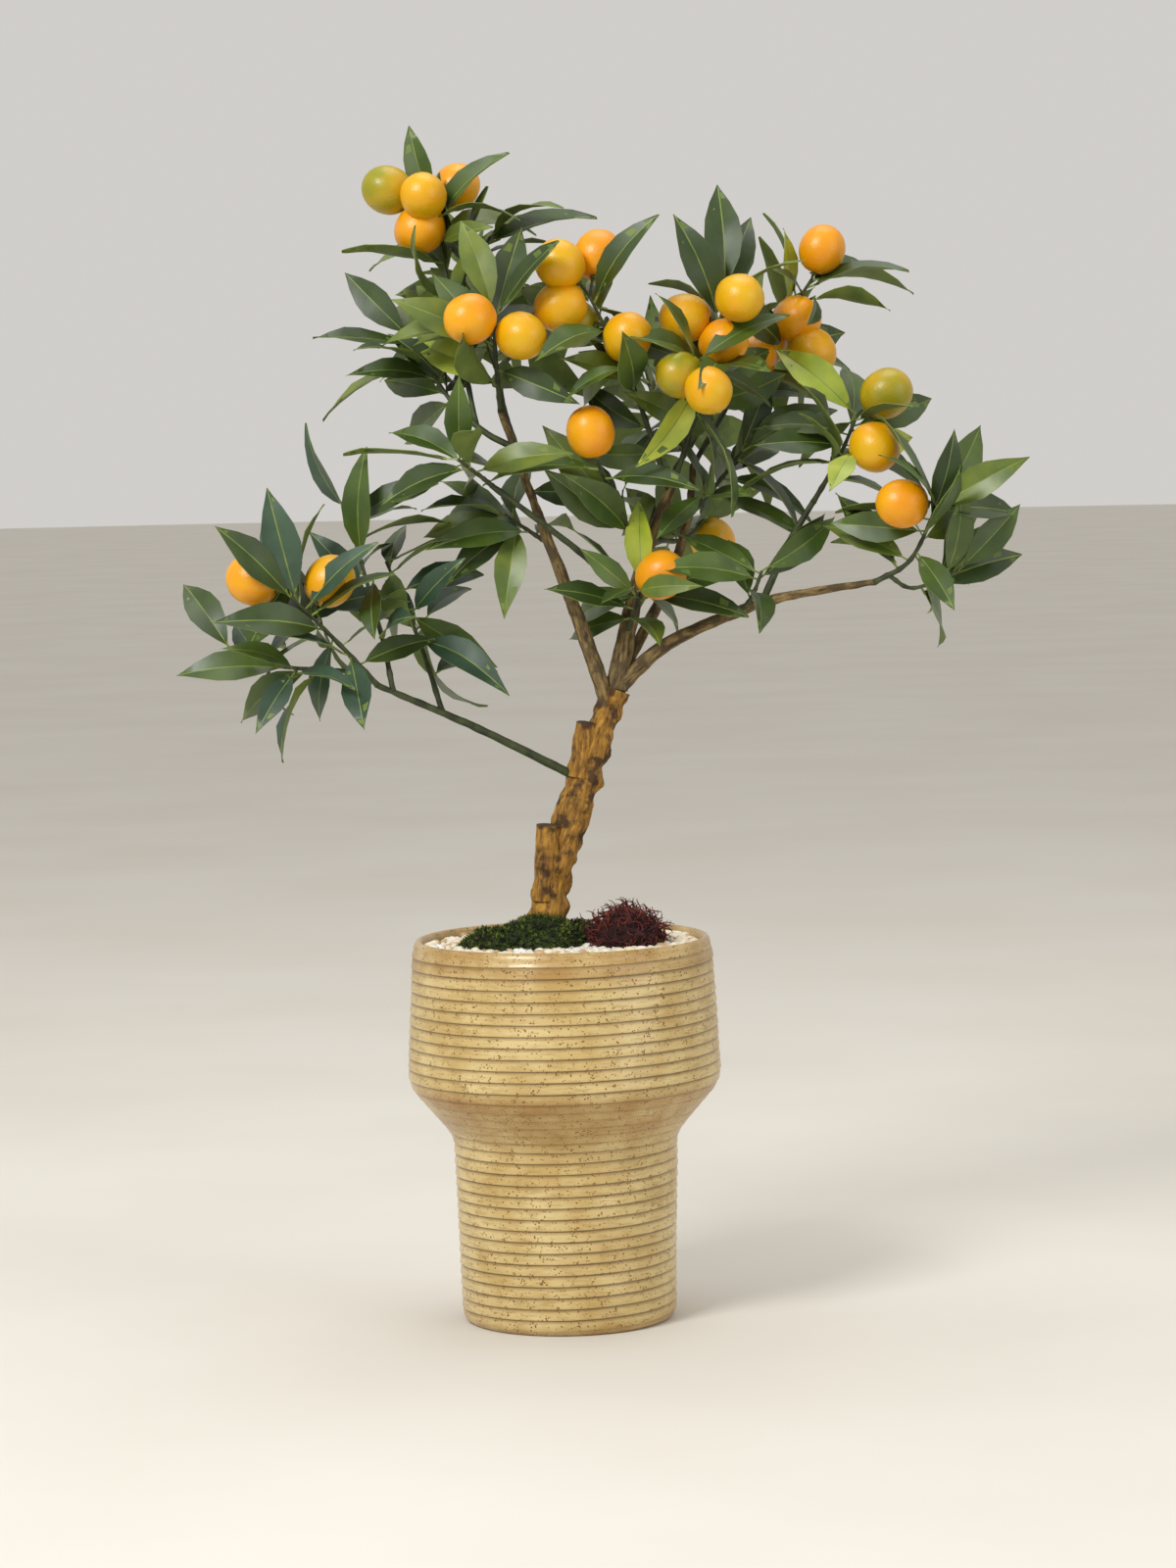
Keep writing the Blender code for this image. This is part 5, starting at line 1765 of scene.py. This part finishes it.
def blade_of(leaf):
    """Which green a leaf has."""
    chance = rng.random()
    if leaf.mass in SHADE_AND_SHEEN_MASSES:
        return "bloom" if chance < SHADE_AND_SHEEN_CHANCE else "deep" if chance < DEEP_CHANCE else "mid"
    if chance < YOUNG_CHANCE:
        return "young"
    if chance < YOUNG_CHANCE + OLIVE_CHANCE + SUNLIT_OLIVE * (leaf.root.z > SUNLIT_HEIGHT):
        return "olive"
    return "mid" if chance < MID_CHANCE else "deep"


by_blade = {key: [] for key in blade_finishes}
for leaf in leaves:
    by_blade[blade_of(leaf)].append(leaf)
for key, found in by_blade.items():
    eulers = []
    for leaf in found:
        side = leaf.direction.cross(leaf.face).normalized()
        eulers.append(Matrix((side, leaf.direction, leaf.face)).transposed().to_euler())
    piece = points_piece(f"leaves_{key}", [leaf.root for leaf in found], eulers,
                         [leaf.length * MM for leaf in found],
                         [rng.randrange(len(LEAF_FORMS)) for leaf in found])
    follow_rule(piece, place_shapes, {
        "Shapes": leaf_shapes, **by_tone(blade_finishes[key], leaf_rib, leaf_underside)})
    finish_piece(piece, "foliage", *sorted({leaf.mass for leaf in found}))

# %% [markdown]
# ## Kumquats
#
# The fruit is a small oval orange with a thin, pitted, slightly shiny peel. It ripens from green
# through amber to orange. A sphere stretched along its stalk is close, so it only needs a flatter
# stalk end, the small dimple there, a five-pointed green cap, and pits of about a millimetre in
# the finish.

# %% Peel finishes


def peel_finish(name, ripe, pale):
    """Citrus peel: a drift of two colours, oil glands as pits, and a faint shine."""
    shine = {"Roughness": 0.38, "Coat_Weight": 0.15, "Coat_Roughness": 0.3, "IOR": 1.45}
    material, tree, shader, place = drifting_finish(name, ripe, pale, 22, 2.0, shine)
    glands = add_node(tree, "ShaderNodeTexVoronoi", {"Vector": place, "Scale": cells_of(1.5)})
    bump = add_node(tree, "ShaderNodeBump", {
        "Height": glands.outputs["Distance"], "Distance": 0.25 * MM, "Strength": 0.45})
    tree.links.new(bump.outputs[0], shader.inputs["Normal"])
    return material


peels = {
    "ripe": peel_finish("kumquat_peel_ripe", "#E29000", "#E8A200"),
    "amber": peel_finish("kumquat_peel_amber", "#DE9C00", "#D6A800"),
    "turning": peel_finish("kumquat_peel_turning", "#BF9906", "#8E8A10"),
}
# The cap at the stalk is dull and dry beside the peel
fruit_cap = cloudy_finish("kumquat_cap_green", "#6B7630", "#4B571F", 4, 0.1, {"Roughness": 0.6})
print("Peel finishes:", len(peels))

# %% Fruit shapes

FRUIT_WIDTH = 31
FRUIT_LENGTH = 34
AROUND, UPWARDS = 24, 14
# A fruit has faint ribs, as a share of its radius, and a dimple over its first few rings
RIBS, RIB_SHARE = 5, 0.012
DIMPLE, DIMPLE_RINGS = 0.9, 2.5
POLE_DENT = 1.6
# The cap is a star with points and notches, whose middle bulges out and in
CAP_POINT, CAP_NOTCH = 3.4, 1.7
CAP_CORNERS = 10
CAP_EDGE, CAP_OUT, CAP_IN = -0.1, -1.2, 1.8


def fruit_shape(name, lean, plump):
    """Kumquat along Z with its stalk end down, in millimetres turned to metres."""
    points, faces = [], []
    low, high = -FRUIT_LENGTH / 2, FRUIT_LENGTH / 2
    for ring in range(1, UPWARDS):
        polar = math.pi * ring / UPWARDS
        radius = FRUIT_WIDTH / 2 * math.sin(polar) ** plump
        z = low * math.cos(polar) + DIMPLE * max(0, 1 - ring / DIMPLE_RINGS)
        for corner in range(AROUND):
            rib = 1 + RIB_SHARE * math.sin(RIBS * math.tau * corner / AROUND + lean)
            points.append(ring_place(radius * rib, z, corner / AROUND))
        if ring > 1:
            faces += ring_faces((ring - 1) * AROUND, (ring - 2) * AROUND, AROUND)
    for first, z, order in ((0, low + POLE_DENT, 1), ((UPWARDS - 2) * AROUND, high, -1)):
        points.append(ring_place(0, z, 0))
        for corner in range(AROUND):
            edge = (first + (corner + 1) % AROUND, first + corner)
            faces.append((*edge[::order], len(points) - 1))
    peel_faces, cap = len(faces), len(points)
    for corner in range(CAP_CORNERS):
        radius = CAP_NOTCH if corner % 2 else CAP_POINT
        points.append(ring_place(radius, low + CAP_EDGE, corner / CAP_CORNERS))
    points += [ring_place(0, low + CAP_OUT, 0), ring_place(0, low + CAP_IN, 0)]
    for corner in range(CAP_CORNERS):
        here, following = cap + corner, cap + (corner + 1) % CAP_CORNERS
        faces += [(following, here, cap + CAP_CORNERS), (here, following, cap + CAP_CORNERS + 1)]
    mesh = mesh_of(name, points, faces)
    set_tones(mesh, [0] * peel_faces + [1] * (len(faces) - peel_faces))
    return mesh


fruit_shapes = shape_collection("kumquat", [
    fruit_shape("kumquat_0", 0.0, 0.92), fruit_shape("kumquat_1", 2.0, 0.98)])

# %% Hang the fruit

# The ripeness of each fruit in turn, and how much smaller or larger than usual one can be
PEEL_ORDER = ("ripe", "amber", "ripe", "amber", "turning", "amber", "ripe")
FRUIT_SIZES = (0.94, 1.03)
rng = random.Random(23)
by_peel = {key: [] for key in peels}
for number, item in enumerate(fruit):
    by_peel[PEEL_ORDER[number % len(PEEL_ORDER)]].append(item)
for key, found in by_peel.items():
    eulers = [item.axis.to_track_quat("Z", "Y").to_euler() for item in found]
    piece = points_piece(f"kumquats_{key}", [item.centre for item in found], eulers,
                         [rng.uniform(*FRUIT_SIZES) for item in found],
                         [rng.randrange(len(fruit_shapes.objects)) for item in found])
    follow_rule(piece, place_shapes, {
        "Shapes": fruit_shapes, **by_tone(peels[key], fruit_cap, fruit_cap)})
    finish_piece(piece, "fruit", *sorted({item.mass for item in found}))

# %% [markdown]
# ## Floor, light and camera
#
# The tree stands on a plain pale floor under a large soft light from the upper left, with a weak
# fill from the right, so the glaze and the leaves show their shine without hard shadows. The
# camera looks a little down from tree height through a long lens, as one would to photograph it.

# %% Floor

FLOOR_METRES = 30
# Matt paint shows only the tree's shadow, with no grain to draw the eye
floor_finish = cloudy_finish(
    "pale_studio_floor", "#DEDAD1", "#D9D4CA", 400, 0.02, {"Roughness": 0.9})
bm = bmesh.new()
bmesh.ops.create_circle(bm, cap_ends=True, segments=64, radius=FLOOR_METRES)
floor = new_piece("floor", mesh_from(bm, "floor"))
floor.data.materials.append(floor_finish)
print("Floor radius:", FLOOR_METRES, "m")

# %% Light

world = bpy.data.worlds.new("pale_studio")
world.use_nodes = True
background = world.node_tree.nodes["Background"]
background.inputs["Color"].default_value = colour("#EDEAE6")
background.inputs["Strength"].default_value = 0.75
bpy.context.scene.world = world
# The plain sRGB view keeps the fruit and the glaze as saturated as their hex colours
bpy.context.scene.view_settings.view_transform = "Standard"

Lamp = namedtuple("Lamp", "place aim size power")
# Places, aims and sizes in metres, power in watts
LAMPS = {
    "soft_key": Lamp((-1.4, -1.9, 2.3), (0, 0, 0.45), 0.9, 60),
    "weak_fill": Lamp((2.2, -1.6, 1.2), (0, 0, 0.4), 1.6, 12),
    "top_light": Lamp((0.2, 0.4, 2.6), (0, 0, 0.5), 1.4, 16),
}
for name, lamp in LAMPS.items():
    data = bpy.data.lights.new(name, "AREA")
    data.size = lamp.size
    data.energy = lamp.power
    light = bpy.data.objects.new(name, data)
    light.location = lamp.place
    light.rotation_euler = (Vector(lamp.aim) - Vector(lamp.place)).to_track_quat("-Z", "Y").to_euler()
    bpy.context.scene.collection.objects.link(light)
print("Lamps:", list(LAMPS))

# %% Camera

CAMERA_PLACE = (0.0187, -2.751, 0.5574)
CAMERA_LENS = 100
CAMERA_SENSOR = 36
CAMERA_DOWN = math.radians(4.5)
CAMERA_ROLL = math.radians(1.2)
camera_data = bpy.data.cameras.new("camera")
camera_data.lens = CAMERA_LENS
camera_data.sensor_width = CAMERA_SENSOR
camera = bpy.data.objects.new("camera", camera_data)
ahead = Vector((0, math.cos(CAMERA_DOWN), -math.sin(CAMERA_DOWN)))
level_up = Vector((0, math.sin(CAMERA_DOWN), math.cos(CAMERA_DOWN)))
level_right = Vector((1, 0, 0))
right = level_right * math.cos(CAMERA_ROLL) - level_up * math.sin(CAMERA_ROLL)
up = level_right * math.sin(CAMERA_ROLL) + level_up * math.cos(CAMERA_ROLL)
turn = Matrix((right, up, -ahead)).transposed().to_4x4()
camera.matrix_world = Matrix.Translation(CAMERA_PLACE) @ turn
bpy.context.scene.collection.objects.link(camera)
bpy.context.scene.camera = camera
print("Camera at", CAMERA_PLACE)

# %% [markdown]
# ## Sizes
#
# The dressed tree has to stay as large as the plain one. The plain model's box is printed.

# %% Print the plain model's box

bpy.context.view_layer.update()
print("Plain box:", cad_box)
